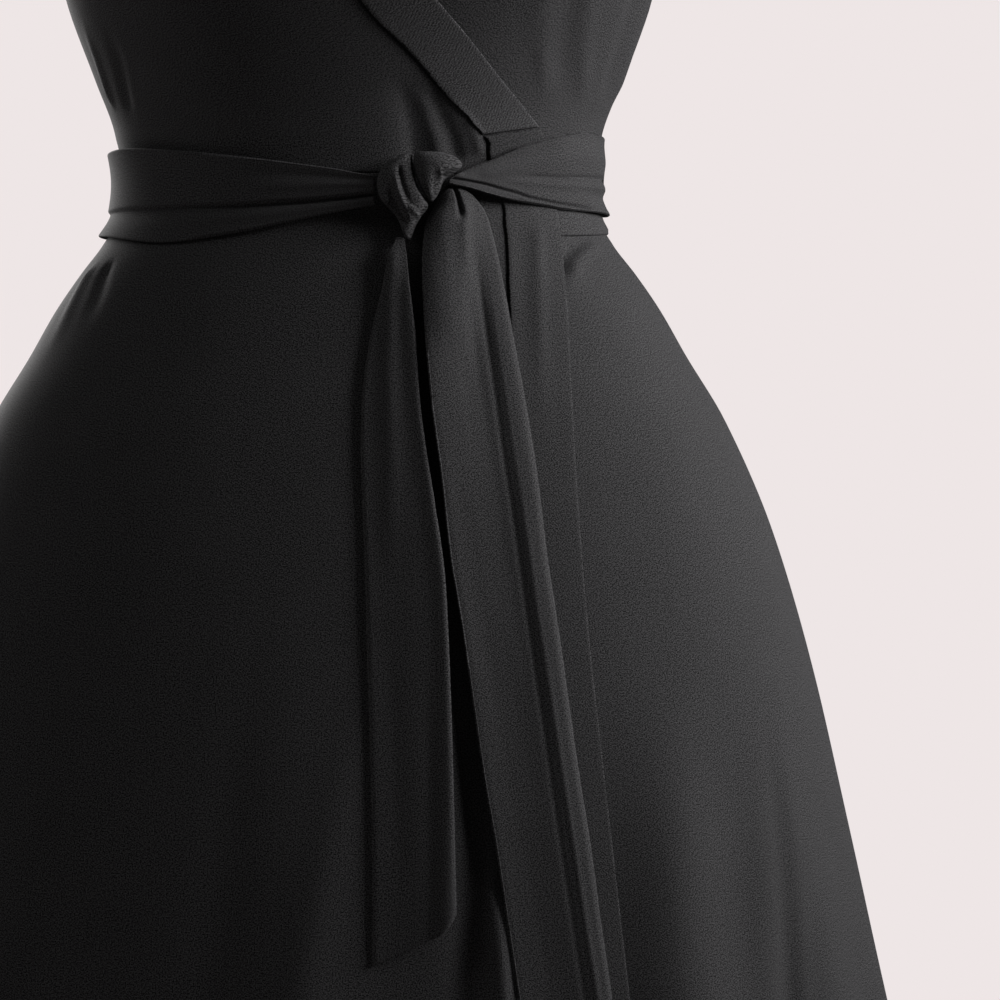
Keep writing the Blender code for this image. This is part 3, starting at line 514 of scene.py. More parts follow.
# The groove along the seam of the band: its middle beside the seam, half width and depth, which it
# reaches between two levels
GROOVE_PLACE = -0.0005
GROOVE_WIDTH = 0.0011
GROOVE_DEPTH = 0.0012
GROOVE_LEVELS = (-0.010, 0.020)

# The neck band and the edge band meet along a seam that rises towards their free edge, and turn in there
BAND_JOIN_RISE = (-0.0022, 0.0034)
BAND_SLANT_FADE = 0.024
JOIN_TURN = 0.0012
JOIN_TURN_WIDTH = 0.0006

# A crease is felt out to this many of its half widths
CREASE_REACH = 3.0

# Unevenness of hanging cloth: its height, size and how it is drawn out downwards
WANDER = 0.0007
WANDER_SIZE = 0.055
WANDER_STRETCH = 0.45

# The sash presses the panels flat, and this far beside it they come free
BELT_FADE = 0.008
BELT_INSIDE = 0.001

# The radius at which creases round the waist are measured
ROUND_RADIUS = 0.16

# The upper part of the left stretch of the sash lies over its lower part by this step
TIE_STEP_HEIGHT = 0.0016
TIE_STEP_WIDTH = 0.0009

# The start of the sash is sewn on beneath the rim of the edge band, and its first columns come back to it
TIE_TUCK = 0.0013
TIE_TUCK_COLUMNS = 12.0

# Over the wearer's left side the upper edge of the outer tie comes in to the bodice: how far, between
# which angles and above which share of its width
TIE_HUG = 0.0034
TIE_HUG_ANGLES = (50.0, 64.0, 88.0, 112.0)
TIE_HUG_FROM = 0.66
TIE_STRETCH_END = 120.0
TIE_SIDE_RIGHT = 270.0
TIE_SIDE_LEFT = 90.0

# The slanted end of a hanging end, over this length, and its rounded corner over this share of its width
TAIL_END_SLANT = 0.018
TAIL_END_TURN = 0.060
TAIL_CORNER_RISE = 0.0075
TAIL_CORNER_SHARE = 0.78
# How far its left and right edge turn back, and over what share of its width
TAIL_EDGE_TURN = {"tie_end_front": (0.0004, 0.0014, 0.09), "tie_end_rear": (0.0006, 0.0008, 0.08)}

# The skin of the knot
KNOT_VOXEL = 0.00042
KNOT_SMOOTHING = 7
KNOT_ROWS = 48
KNOT_SIDES = 56
KNOT_SOFTNESS = 0.5
KNOT_FLAT_DEPTH = 0.5
KNOT_CREASE_FACING = 1.5

# Spacing of the shells' rows, near the waist and elsewhere, and their counts of columns
FINE_ROW = 0.0018
JOIN_ROW = FINE_ROW / 4
BODICE_ROW = 0.0060
SKIRT_ROW = 0.0055
FINE_ABOVE_WAIST = 0.066
FINE_BELOW_WAIST = 0.076
RIM_STEPS = 4
TAIL_TOP = 0.030
TAIL_TOP_ROW = 0.0008
TAIL_ROW = 0.0026
BESIDE_BAND_COLUMNS = 10
OVER_BAND_COLUMNS = 15
SKIRT_BAND_COLUMNS = 19
UNDER_BAND_COLUMNS = 13
BACK_SHOULDER_COLUMNS = 30
BACK_NECK_COLUMNS = 50
SKIRT_BACK_COLUMNS = 141
BACK_BAND_ROWS = 11
BACK_BAND_COLUMNS = 61
# Shares of the way across, each with the step from there on
OVER_SHARES = ((0.0, 0.012), (0.55, 0.0052), (0.93, 0.0020), (1.0, 0))
UNDER_SHARES = ((0.0, 0.0052), (0.45, 0.015), (1.0, 0))
TAIL_SHARES = ((0.0, 0.012), (0.25, 0.0088), (0.60, 0.0125), (1.0, 0))
# Columns and rows of each stretch of the ties
TIE_GRIDS = {
    "tie_over_start": (60, 25),
    "tie_over_back": (90, 25),
    "tie_over_front": (140, 60),
    "tie_under_front": (130, 84),
    "tie_under_back": (110, 25),
}

# The cloth: colour, shine, and the bump and contrast of its grain
CLOTH_COLOUR = (0.0447, 0.0442, 0.0457)
CLOTH_SHADER = (
    ("Metallic", 0.0),
    ("Specular IOR Level", 0.14),
    ("Sheen Weight", 0.03),
    ("Sheen Roughness", 0.5),
    ("Sheen Tint", (0.9, 0.9, 0.95, 1.0)),
)
CLOTH_ROUGHNESS = 0.78
ROUGHNESS_CHANGE = -0.08
BUMP_DISTANCE = 0.00016
GRAIN_SCALE = 1350.0
GRAIN_DETAIL = 2.0
GRAIN_ROUGHNESS = 0.8
GRAIN_HEIGHT = 0.5
GRAIN_COLOUR = 7.8
COLOUR_SPREAD = 0.9
CLOUD_SCALE = 26.0
CLOUD_DETAIL = 3.0
STREAK_SCALE = (420.0, 34.0, 1.0)
STREAK_DETAIL = 1.0
CLOUD_COLOUR = 0.16
WEAVE_HEIGHT = 0.25
UV_NAME = "flat"

# Each cloth: the pitch of its threads, the angle and strength of its ribs, how much its colour is lifted as
# painted light, its slot
CLOTH_COLUMNS = ("pitch", "rib_angle", "rib", "painted_light", "slot")
CLOTHS = {
    "dress": (0.0011, 58.0, 0.25, 1.0, "dress_cloth"),
    # The neck band is the dress's own cloth, with its colour painted 1.3 times lighter: painted light
    # standing in for brighter light on the upper bodice
    "band": (0.0013, 45.0, 0.7, 1.3, "band_cloth"),
    "edge_band": (0.0012, 45.0, 0.3, 1.0, "band_cloth"),
    "sash": (0.0011, 52.0, 0.2, 1.0, "sash_cloth"),
}
CLOTHS = {cloth: dict(zip(CLOTH_COLUMNS, row)) for cloth, row in CLOTHS.items()}

# Lights: direction in degrees round the dress from the front towards the wearer's left, height angle,
# the height it aims at, distance, width, how far its beam opens in degrees, power and colour
LIGHTS = (
    ("key", 77.0, 14.0, -0.15, 1.9, 1.0, 60.0, 5.7, (1.0, 0.985, 0.99)),
    ("rim", 104.0, 25.0, -0.85, 1.9, 1.0, 50.0, 2.4, (1.0, 0.985, 0.99)),
    ("fill", -70.0, 34.0, -0.05, 2.2, 1.4, 60.0, 1.2, (1.0, 0.99, 0.98)),
    ("back_key", 215.0, 16.0, -0.55, 3.0, 1.4, 180.0, 70.0, (1.0, 0.98, 0.97)),
)
BACKDROP = (0.855, 0.791, 0.791, 1.0)
AMBIENT_COLOUR = (1.0, 0.98, 0.98, 1.0)
AMBIENT = 0.016
FLOOR_BELOW = 1.40
FLOOR_HALF = 3.4
FLOOR_COLOUR = (0.74, 0.70, 0.70, 1.0)
FLOOR_ROUGHNESS = 0.9

# The camera: level, in front of the waist, as far away as a photographer stands
CAMERA_DISTANCE = 2.5
CAMERA_SIDE = 0.0775
CAMERA_BELOW_WAIST = 0.173
VIEW_WIDTH = 0.55
SENSOR_WIDTH = 36.0


def smooth_curve(x, y):
    """A function through these places, smooth and with no overshoot."""
    slope = np.diff(y) / np.diff(x)
    tangent = np.concatenate([slope[:1], np.zeros(len(x) - 2), slope[-1:]])
    before, after = slope[:-1], slope[1:]
    same = before * after > 0
    tangent[1:-1][same] = 2 * before[same] * after[same] / (before + after)[same]

    def at(where):
        where = np.clip(where, x[0], x[-1])
        i = np.clip(np.searchsorted(x, where, side="right") - 1, 0, len(x) - 2)
        step = x[i + 1] - x[i]
        t = (where - x[i]) / step
        ends = y[i] * (1 + 2 * t) * (1 - t) ** 2 + y[i + 1] * t * t * (3 - 2 * t)
        return ends + step * t * (1 - t) * (tangent[i] * (1 - t) - tangent[i + 1] * t)

    return at


def smooth_columns(table, columns):
    """A smooth function from the first column of a table to each of the others, by the column's name."""
    first, *others = np.array(sorted(table)).T
    return {name: smooth_curve(first, other) for name, other in zip(columns[1:], others)}


def metres(table, angles=0):
    """A table given in millimetres, whose first columns may be angles, with its lengths in metres."""
    return tuple(row[:angles] + tuple(length / MM for length in row[angles:]) for row in table)


height_at, half_width_at, front_depth_at, back_depth_at = smooth_columns(FIGURE, FIGURE_COLUMNS).values()
edge_x_at = smooth_columns(EDGE, EDGE_COLUMNS)["x"]
armhole_at = smooth_columns(ARMHOLE, ARMHOLE_COLUMNS)["angle"]
band_width_at = smooth_columns(BAND_WIDTHS, BAND_WIDTH_COLUMNS)["width"]


def smooth_step(low, high, value):
    t = np.clip((value - low) / (high - low), 0.0, 1.0)
    return t * t * (3 - 2 * t)


def bell(distance, half_width):
    return np.exp(-(distance / half_width) ** 2)


def between(start, end, shares):
    """A grid that goes from a column of starts to a column of ends."""
    return start[:, None] + (end - start)[:, None] * shares[None, :]


def unit(vectors):
    return vectors / np.linalg.norm(vectors, axis=-1, keepdims=True)


def turn(angle, middle):
    """The angle from a middle, in degrees between -180 and 180."""
    return (np.degrees(angle) - middle + 180.0) % 360.0 - 180.0


def graded(*marks):
    """Places from one mark to the next, each stretch with its own step."""
    places = []
    for (start, step), (end, _) in zip(marks, marks[1:]):
        count = max(1, round(abs(end - start) / step))
        places.append(np.linspace(start, end, count + 1)[:-1])
    return np.concatenate(places + [[marks[-1][0]]])


def swell(angle, level):
    """How far the darts and the skirt's folds push the cloth out from its section."""
    total = np.zeros(np.broadcast(angle, level).shape)
    for side in (-1, 1):
        across = turn(angle, side * DART_ANGLE) / DART_HALF_ANGLE
        along = (level - DART_LEVEL) / DART_HALF_HEIGHT
        total = total + DART_DEPTH * np.exp(-across ** 2 - along ** 2)
    for middle, half_angle, depth, top in FOLDS:
        fade = smooth_step(-top, SKIRT_LENGTH, -level)
        total = total + depth * fade * bell(turn(angle, middle), half_angle)
    return total


def base_point(angle, level):
    """A point of the innermost surface."""
    angle, level = np.broadcast_arrays(np.asarray(angle, float), np.asarray(level, float))
    out = swell(angle, level)
    depth = np.where(np.cos(angle) >= 0, front_depth_at(level), back_depth_at(level))
    x = (half_width_at(level) + out) * np.sin(angle)
    y = -(depth + out) * np.cos(angle)
    past_neck = np.maximum(np.abs(x) - NECK_HALF, 0.0)
    fall = SHOULDER_SLOPE * past_neck * smooth_step(SHOULDER_TURN, SHOULDER_LEVEL, level)
    return np.stack([x, y, height_at(level) - SHOULDER_HEIGHT - fall], axis=-1)


def along_cloth(level, step, point_at):
    """The way from just below a level to just above it, along points of the cloth."""
    low = np.maximum(level - step, -SKIRT_LENGTH)
    high = np.minimum(level + step, SHOULDER_LEVEL)
    return point_at(high) - point_at(low)


def cloth_point(angle, level, out):
    """A point moved out from the innermost surface, square to it."""
    step = 1e-4
    along_angle = base_point(angle + step, level) - base_point(angle - step, level)
    along_level = along_cloth(level, step, lambda place: base_point(angle, place))
    return base_point(angle, level) + unit(np.cross(along_angle, along_level)) * np.asarray(out)[..., None]


def angle_of(x, level, out=0.0):
    """The angle at which a front layer reaches a distance from the centre line."""
    return np.arcsin(np.clip(x / (half_width_at(level) + out), -SINE_LIMIT, SINE_LIMIT))


def seam_angle(level, depth_at):
    """Where a piece ends at the side seam or the armhole: the sewn edges meet."""
    return np.radians(armhole_at(level)) + SEAM_TUCK / np.maximum(depth_at(level), LEAST_DEPTH)


def over_out(angle, level, more=0.0):
    """How far out the over front lies: it comes down onto its side seam, and hangs free at the hem."""
    hang = HEM_LIFT * smooth_step(0.0, SKIRT_LENGTH, -level)
    return (OVER_OUT + hang) * smooth_step(0.0, OVER_TAPER_ANGLE, turn(angle, -90.0)) + more


def over_edge(level):
    """The free edge, whose distance from the centre line is that of its band's outer side."""
    return angle_of(edge_x_at(level), level, EDGE_OUT * smooth_step(SHOULDER_LEVEL, SHOULDER_TURN, level))


def under_edge(level):
    return -over_edge(level)


def band_turn(level, edge=over_edge):
    """The angle that a band takes up beside the free edge."""
    step = 1e-3
    along = unit(along_cloth(level, step, lambda place: base_point(edge(place), place)))
    across = (base_point(edge(level) + step, level) - base_point(edge(level) - step, level)) / (2 * step)
    return band_width_at(level) / np.linalg.norm(np.cross(across, along), axis=-1)


def beside_band(angle, level):
    """The distance from the seam of the over front's band, negative away from the band."""
    return (angle - over_edge(level) + band_turn(level)) * half_width_at(level)


def crease_height(across, along, crease):
    """The height of one crease at places given in the plane of its points."""
    heights, half_widths, fades, points = (np.array(part) for part in crease)
    line, half_widths = points / MM, half_widths / MM
    run = np.concatenate([[0.0], np.cumsum(np.linalg.norm(np.diff(line, axis=0), axis=1))])
    share = run / run[-1]
    reach = CREASE_REACH * half_widths.max()
    low, high = line.min(axis=0) - reach, line.max(axis=0) + reach
    near = (across > low[0]) & (across < high[0]) & (along > low[1]) & (along < high[1])
    place = np.stack([across[near], along[near]], axis=-1)
    best, where = np.full(len(place), np.inf), np.zeros(len(place))
    for i, step in enumerate(np.diff(line, axis=0)):
        t = np.clip((place - line[i]) @ step / (step @ step), 0.0, 1.0)
        distance = np.linalg.norm(place - line[i] - t[:, None] * step, axis=-1)
        closer = distance < best
        best[closer] = distance[closer]
        where[closer] = (share[i] + t * (share[i + 1] - share[i]))[closer]
    height = np.interp(where, (0, 1), heights / MM) * bell(best, np.interp(where, (0, 1), half_widths))
    for fade, from_end in zip(fades, (where, 1.0 - where)):
        if fade:
            height *= smooth_step(0.0, fade, from_end)
    result = np.zeros(across.shape)
    result[near] = height
    return result


def under_belt(angle, level):
    """How far a place is covered by the sash, which presses the panels flat: 0 clear, 1 covered."""
    covered = np.zeros(np.broadcast(angle, level).shape)
    degrees = np.degrees(angle) % 360.0
    for table in (TIE_FROM_OVER_FRONT, TIE_FROM_UNDER_FRONT):
        tie_at = smooth_columns(metres(table, 1), TIE_COLUMNS)
        for lap in (0.0, 360.0):
            place = degrees + lap
            inside = (place >= table[0][0]) & (place <= table[-1][0])
            low, high = tie_at["low"](place), tie_at["high"](place)
            over = (smooth_step(low - BELT_FADE, low + BELT_INSIDE, level)
                    * smooth_step(high + BELT_FADE, high - BELT_INSIDE, level))
            covered = np.maximum(covered, over * inside)
    return covered


def wander(points):
    """Soft unevenness of hanging cloth."""
    flat = points.reshape(-1, 3) / WANDER_SIZE
    heights = [noise.noise(Vector((x, y, z * WANDER_STRETCH))) for x, y, z in flat]
    return WANDER * np.array(heights).reshape(points.shape[:-1])


def panel_relief(angle, level, layer):
    """How far the creases move a panel or its band outwards."""
    angle, level = np.broadcast_arrays(angle, level)
    x = half_width_at(level) * np.sin(angle)
    total = np.zeros(angle.shape)
    creases = FRONT_CREASES.get(layer, ())
    if layer == "under":
        creases += tuple(crease for crease in FRONT_CREASES["over"] if crease[0][1] < 0)
    for crease in creases:
        total += np.where(np.cos(angle) > 0, crease_height(x, level, crease), 0.0)
    if layer == "over":
        held = smooth_step(-BAND_HOLD, 0.0, beside_band(angle, level))
        total *= 1.0 - held * smooth_step(BAND_JOIN - BAND_HOLD, BAND_JOIN, level)
    for *form, points in ROUND_CREASES["all"] + ROUND_CREASES.get(layer, ()):
        middle = np.mean([place for place, _ in points])
        line = tuple((math.radians(place - middle) * ROUND_RADIUS * MM, height) for place, height in points)
        total += crease_height(np.radians(turn(angle, middle)) * ROUND_RADIUS, level, (*form, line))
    total += wander(base_point(angle, level))
    return total * (1.0 - under_belt(angle, level))


def quad_mesh(name, points, quads, uv, material):
    """A mesh of quads, with the cloth's flat coordinates as its UVs."""
    mesh = bpy.data.meshes.new(name)
    mesh.vertices.add(len(points))
    mesh.vertices.foreach_set("co", np.asarray(points, np.float32).ravel())
    quads = np.asarray(quads, np.int32)
    mesh.loops.add(quads.size)
    mesh.loops.foreach_set("vertex_index", quads.ravel())
    mesh.polygons.add(len(quads))
    mesh.polygons.foreach_set("loop_start", np.arange(0, quads.size, 4, dtype=np.int32))
    layer = mesh.uv_layers.new(name=UV_NAME)
    layer.data.foreach_set("uv", np.asarray(uv, np.float32)[quads.ravel()].ravel())
    mesh.update(calc_edges=True)
    mesh.validate()
    mesh.materials.append(material)
    return mesh


def steps(points, axis):
    """The lengths from point to point of a grid along its rows or columns."""
    return np.linalg.norm(np.diff(points, axis=axis), axis=2)


def flat_coordinates(points):
    """Distances across and along the cloth, in metres, from the middle of its first row."""
    middle = points.shape[1] // 2
    across = np.pad(np.cumsum(steps(points, 1), axis=1), ((0, 0), (1, 0)))
    along = np.pad(np.cumsum(steps(points, 0)[:, middle]), (1, 0))
    return np.stack(np.broadcast_arrays(across - across[:, middle:middle + 1], along[:, None]), axis=-1)


def cut_of(points):
    """Width, length and area of a piece as it was cut, from its surface before it creased."""
    width = steps(points, 1).sum(axis=1).max()
    length = steps(points, 0).sum(axis=0).max()
    one, two = points[1:, 1:] - points[:-1, :-1], points[1:, :-1] - points[:-1, 1:]
    area = np.linalg.norm(np.cross(one, two), axis=2).sum() / 2
    return (float(width), float(length)), float(min(area, width * length))


def shell(name, inner, outer, material):
    """A wall of cloth between two grids of points, its edges rounded."""
    rows, columns = inner.shape[:2]
    index = np.arange(rows * columns).reshape(rows, columns)
    ring = np.concatenate([index[0, :-1], index[:-1, -1], index[-1, :0:-1], index[:0:-1, 0]])
    flat_inner, flat_outer = inner.reshape(-1, 3).copy(), outer.reshape(-1, 3).copy()
    beside = np.clip(ring // columns, 1, rows - 2) * columns + np.clip(ring % columns, 1, columns - 2)
    inside = (flat_inner[beside] + flat_outer[beside]) / 2
    middle = (flat_inner[ring] + flat_outer[ring]) / 2
    wall = flat_outer[ring] - flat_inner[ring]
    half = np.linalg.norm(wall, axis=1, keepdims=True) / 2
    up = wall / (2 * half)
    out = np.cross(unit(np.roll(middle, -1, axis=0) - np.roll(middle, 1, axis=0)), up)
    out = unit(out * np.sign(((middle - inside) * out).sum(axis=1, keepdims=True)))
    middle = middle - out * half
    flat_outer[ring] = middle + up * half
    flat_inner[ring] = middle - up * half
    points = [flat_outer, flat_inner]
    uv = flat_coordinates((inner + outer) / 2).reshape(-1, 2)
    uvs = [uv, uv]
    count = rows * columns
    loops = [ring]
    for k in range(1, RIM_STEPS):
        turned = math.pi * k / RIM_STEPS
        points.append(middle + half * (math.cos(turned) * up + math.sin(turned) * out))
        uvs.append(uv[ring])
        loops.append(np.arange(len(ring)) + 2 * count + (k - 1) * len(ring))
    loops.append(ring + count)
    face = np.stack([index[:-1, :-1], index[:-1, 1:], index[1:, 1:], index[1:, :-1]], axis=-1).reshape(-1, 4)
    quads = [face, face[:, ::-1] + count]
    for one, two in zip(loops, loops[1:]):
        quads.append(np.stack([np.roll(one, -1), one, two, np.roll(two, -1)], axis=-1))
    return quad_mesh(name, np.concatenate(points), np.concatenate(quads), np.concatenate(uvs), material)


def new_object(name, data):
    """An object of this data, linked to the scene."""
    made = bpy.data.objects.new(name, data)
    bpy.context.scene.collection.objects.link(made)
    return made


def settle(mesh, node):
    """A smooth object of a mesh, put in its node's place."""
    mesh.shade_smooth()
    piece = new_object(mesh.name, mesh)
    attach(piece, "root")
    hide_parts(node)
    return piece


def ordered(*grids):
    """Grids of angles, levels and more, turned so that faces point outwards: angles and levels both rise."""
    grids = np.broadcast_arrays(*grids)
    if grids[0][0, 0] > grids[0][0, -1]:
        grids = [grid[:, ::-1] for grid in grids]
    if grids[1][0, 0] > grids[1][-1, 0]:
        grids = [grid[::-1] for grid in grids]
    return grids


def lay(node, cloth, angle, level, out, relief):
    """A shell of cloth at these angles and levels, put in its node's place."""
    prefix, wall = ("sash_", TIE_WALL) if cloth == "sash" else ("cloth_", WALL)
    angle, level, out, relief = ordered(angle, level, out, relief)
    inner = cloth_point(angle, level, out + relief)
    outer = cloth_point(angle, level, out + relief + wall)
    piece = settle(shell(prefix + node, inner, outer, MATERIALS[cloth]), node)
    flat, area = cut_of(cloth_point(angle, level, out))


def panel(node, layer, angle, level, out, cloth="dress"):
    lay(node, cloth, angle, level, out, panel_relief(angle, level, layer))


def bodice_rows():
    return graded((SEAM_GAP / 2, FINE_ROW), (FINE_ABOVE_WAIST, BODICE_ROW), (SHOULDER_LEVEL, 0))


def skirt_rows():
    return graded((-SEAM_GAP / 2, FINE_ROW), (-FINE_BELOW_WAIST, SKIRT_ROW), (-SKIRT_LENGTH, 0))


def make_front(layer, angles_at, out_at):
    """The bodice and the skirt of a front."""
    for part, rows, held, rests_on in (("bodice", bodice_rows(), "draped", ()),
                                       ("skirt", skirt_rows(), "hung", ("bodice_front_" + layer,))):
        angle, level = angles_at(rows), rows[:, None]
        panel(part + "_front_" + layer, layer, angle, level, out_at(angle, level))


def over_angles(levels):
    """Angles of the over front: its columns close up towards the band, and run on beneath it."""
    end = over_edge(levels)
    inner = end - band_turn(levels)
    beside = between(-seam_angle(levels, front_depth_at), inner, graded(*OVER_SHARES))
    beneath = between(inner, end, np.linspace(0, 1, BESIDE_BAND_COLUMNS)[1:])
    return np.concatenate([beside, beneath], axis=1)


def under_angles(levels):
    return between(seam_angle(levels, front_depth_at), under_edge(levels), graded(*UNDER_SHARES))


def grooved_out(angle, level):
    """How far out the over front lies, drawn in along the seam of the neck band."""
    depth = GROOVE_DEPTH * smooth_step(*GROOVE_LEVELS, level)
    return over_out(angle, level) - depth * bell(beside_band(angle, level) - GROOVE_PLACE, GROOVE_WIDTH)


def make_edge(node, rows, columns, cloth):
    """A band along the free edge: the two meet on a slant, turned in along their seam."""
    shares = np.linspace(0, 1, columns)
    angle = between(over_edge(rows) - band_turn(rows), over_edge(rows), shares)
    rise = BAND_JOIN_RISE[0] * (1 - shares) + BAND_JOIN_RISE[1] * shares
    beside = (rows - BAND_JOIN)[:, None]
    level = rows[:, None] + rise[None, :] * bell(beside, BAND_SLANT_FADE)
    out = over_out(angle, level, BAND_LIFT) - JOIN_TURN * bell(beside, JOIN_TURN_WIDTH)
    panel(node, "over", angle, level, out, cloth)


def make_over_front():
    make_front("over", over_angles, grooved_out)
    start = BAND_JOIN + SEAM_GAP
    rows = graded((start, JOIN_ROW), (start + FINE_ROW, FINE_ROW), (FINE_ABOVE_WAIST, BODICE_ROW),
                  (SHOULDER_LEVEL, 0))
    make_edge("neck_band_over", rows, OVER_BAND_COLUMNS, "band")
    rows = graded((BAND_JOIN, JOIN_ROW), (BAND_JOIN - FINE_ROW, FINE_ROW), (-FINE_BELOW_WAIST, SKIRT_ROW),
                  (-SKIRT_LENGTH, 0))
    make_edge("skirt_band_over", rows, SKIRT_BAND_COLUMNS, "edge_band")


def make_under_front():
    make_front("under", under_angles, lambda angle, level: 0.0)
    rows = graded((UNDER_BAND_START, BODICE_ROW), (SHOULDER_LEVEL, 0))
    inner = under_edge(rows) + band_turn(rows, under_edge)
    outer = np.maximum(under_edge(rows), over_edge(rows) + UNDER_BAND_GAP / half_width_at(rows))
    angle, level = between(inner, outer, np.linspace(0, 1, UNDER_BAND_COLUMNS)), rows[:, None]
    panel("neck_band_under", "under", angle, level, BAND_LIFT, "band")


def make_back():
    rows = bodice_rows()
    top_reach = math.radians(armhole_at(SHOULDER_LEVEL))
    neck = math.asin(NECK_HALF / half_width_at(SHOULDER_LEVEL)) / top_reach
    spread = np.unique(np.concatenate([np.linspace(-1, -neck, BACK_SHOULDER_COLUMNS),
                                       np.linspace(-neck, neck, BACK_NECK_COLUMNS),
                                       np.linspace(neck, 1, BACK_SHOULDER_COLUMNS)]))
    dip = BACK_NECK_DIP * (1 - np.clip(np.abs(spread) / neck, 0, 1) ** 2)
    level = rows[:, None] - smooth_step(SHOULDER_TURN, SHOULDER_LEVEL, rows)[:, None] * dip[None, :]
    angle = math.pi + spread[None, :] * seam_angle(level, back_depth_at)
    panel("bodice_back", "back", angle, level, 0.0)

    level = skirt_rows()[:, None]
    angle = math.pi + np.linspace(-1, 1, SKIRT_BACK_COLUMNS)[None, :] * seam_angle(level, back_depth_at)
    panel("skirt_back", "back", angle, level, 0.0)

    across = np.linspace(-1, 1, BACK_BAND_COLUMNS)[None, :]
    share = np.linspace(0, 1, BACK_BAND_ROWS)[:, None]
    reach = NECK_HALF + BAND_WIDTH * share
    level = SHOULDER_LEVEL - (BACK_NECK_DIP + BAND_WIDTH * share) * (1 - np.abs(across) ** (2 + share))
    angle = math.pi - np.arcsin(reach * across / half_width_at(level))
    lay("neck_band_back", "band", angle[::-1, ::-1], level[::-1, ::-1], WALL + BACK_BAND_GAP, 0.0)


def tie_relief(node, angle, level):
    x = half_width_at(level) * np.sin(angle)
    total = sum(crease_height(x, level, crease) for crease in TIE_CREASES.get(node, ()))
    if node == "tie_over_front":
        step_x, step_level = np.array(TIE_STEP).T / MM
        above = level - np.interp(x, step_x, step_level)
        total += TIE_STEP_HEIGHT * smooth_step(-TIE_STEP_WIDTH, TIE_STEP_WIDTH, above)
    return total


def tie(node, table, start, end, starts_at_edge=False, hug=0.0):
    """A stretch of a tie between two angles."""
    columns, rows = TIE_GRIDS[node]
    tie_at = smooth_columns(metres(table, 1), TIE_COLUMNS)
    degrees = np.linspace(start, end, columns)[None, :]
    share = np.linspace(0, 1, rows)[:, None]
    level = tie_at["low"](degrees) * (1 - share) + tie_at["high"](degrees) * share
    angle = np.radians(degrees) + np.zeros(level.shape)
    if starts_at_edge:
        first = over_edge(level[:, 0]) - TIE_TUCK / half_width_at(level[:, 0])
        pull = np.clip(1 - np.arange(columns) / TIE_TUCK_COLUMNS, 0, 1)[None, :]
        angle = angle + (first - angle[:, 0])[:, None] * pull
    begins, full, eases, ends = TIE_HUG_ANGLES
    drawn_in = hug * smooth_step(begins, full, degrees) * smooth_step(ends, eases, degrees)
    out = tie_at["out"](degrees) - drawn_in * smooth_step(TIE_HUG_FROM, 1.0, share)
    lay(node, "sash", angle, level, out, tie_relief(node, angle, level))


def make_ties():
    gap = math.degrees(SEAM_GAP / half_width_at(0.0))
    over, under = TIE_FROM_OVER_FRONT, TIE_FROM_UNDER_FRONT
    tie("tie_over_start", over, math.degrees(over_edge(0.0)), TIE_STRETCH_END, starts_at_edge=True)
    tie("tie_over_back", over, TIE_STRETCH_END + gap, TIE_SIDE_RIGHT)
    tie("tie_over_front", over, TIE_SIDE_RIGHT + gap, over[-1][0])
    tie("tie_under_front", under, under[0][0], TIE_SIDE_LEFT, hug=TIE_HUG)
    tie("tie_under_back", under, TIE_SIDE_LEFT + gap, under[-1][0], hug=TIE_HUG)


def tail_out(table, levels, share):
    """How far out a hanging end lies at each share of its width, a row for each level."""
    columns = smooth_columns(metres(table), OUT_COLUMNS).values()
    sections = np.concatenate([at(levels) for at in columns], axis=1)
    return np.array([smooth_curve(np.array(OUT_SHARES), section)(share[0]) for section in sections])


def hanging_end(node, table, out_table):
    tail_at = smooth_columns(metres(table), TAIL_COLUMNS)
    top, bottom = table[0][0] / MM, table[-1][0] / MM
    levels = graded((top, TAIL_TOP_ROW), (top - TAIL_TOP, TAIL_ROW), (bottom, 0))[:, None]
    share = graded(*TAIL_SHARES)[None, :]
    corner = TAIL_CORNER_RISE * np.clip((share - TAIL_CORNER_SHARE) / (1 - TAIL_CORNER_SHARE), 0, 1) ** 2
    drop = smooth_step(bottom + TAIL_END_TURN, bottom, levels) * (TAIL_END_SLANT * (1 - share) - corner)
    x = tail_at["left"](levels) * (1 - share) + tail_at["right"](levels) * share
    out = tail_out(out_table, levels, share)
    level = levels - drop
    left_turn, right_turn, reach = TAIL_EDGE_TURN[node]
    relief = sum(crease_height(x, level, crease) for crease in TAIL_CREASES[node])
    for edge_turn, from_edge in ((left_turn, share), (right_turn, 1 - share)):
        relief = relief - edge_turn * (1 - smooth_step(0, reach, from_edge)) ** 2
    lay(node, "sash", angle_of(x, level, out), level, out, relief)


def lobe_rings(table):
    """Rings of points around a lobe whose sections lie one below the other."""
    table = metres(table)
    level = np.linspace(table[0][0], table[-1][0], KNOT_ROWS)[:, None]
    x, half_across, out, half_thick = (at(level) for at in smooth_columns(table, LOBE_COLUMNS).values())
    turned = np.linspace(0, 2 * math.pi, KNOT_SIDES, endpoint=False)[None, :]
    point_out = out + half_thick * np.sin(turned)
    point_x = x + half_across * np.cos(turned)
    return cloth_point(angle_of(point_x, level, point_out), level + np.zeros(point_x.shape), point_out)


def ring_faces(rings):
    """Faces between rings of points, and over the first and last ring."""
    rows, sides = rings.shape[:2]
    index = np.arange(rows * sides).reshape(rows, sides)
    turned = np.roll(index, -1, axis=1)
    faces = np.stack([index[:-1], turned[:-1], turned[1:], index[1:]], axis=-1).reshape(-1, 4).tolist()
    return faces + [index[0, ::-1].tolist(), index[-1].tolist()]


def values_of(data, key, size, kind):
    values = np.empty(len(data) * size, kind)
    data.foreach_get(key, values)
    return values.reshape(-1, size)


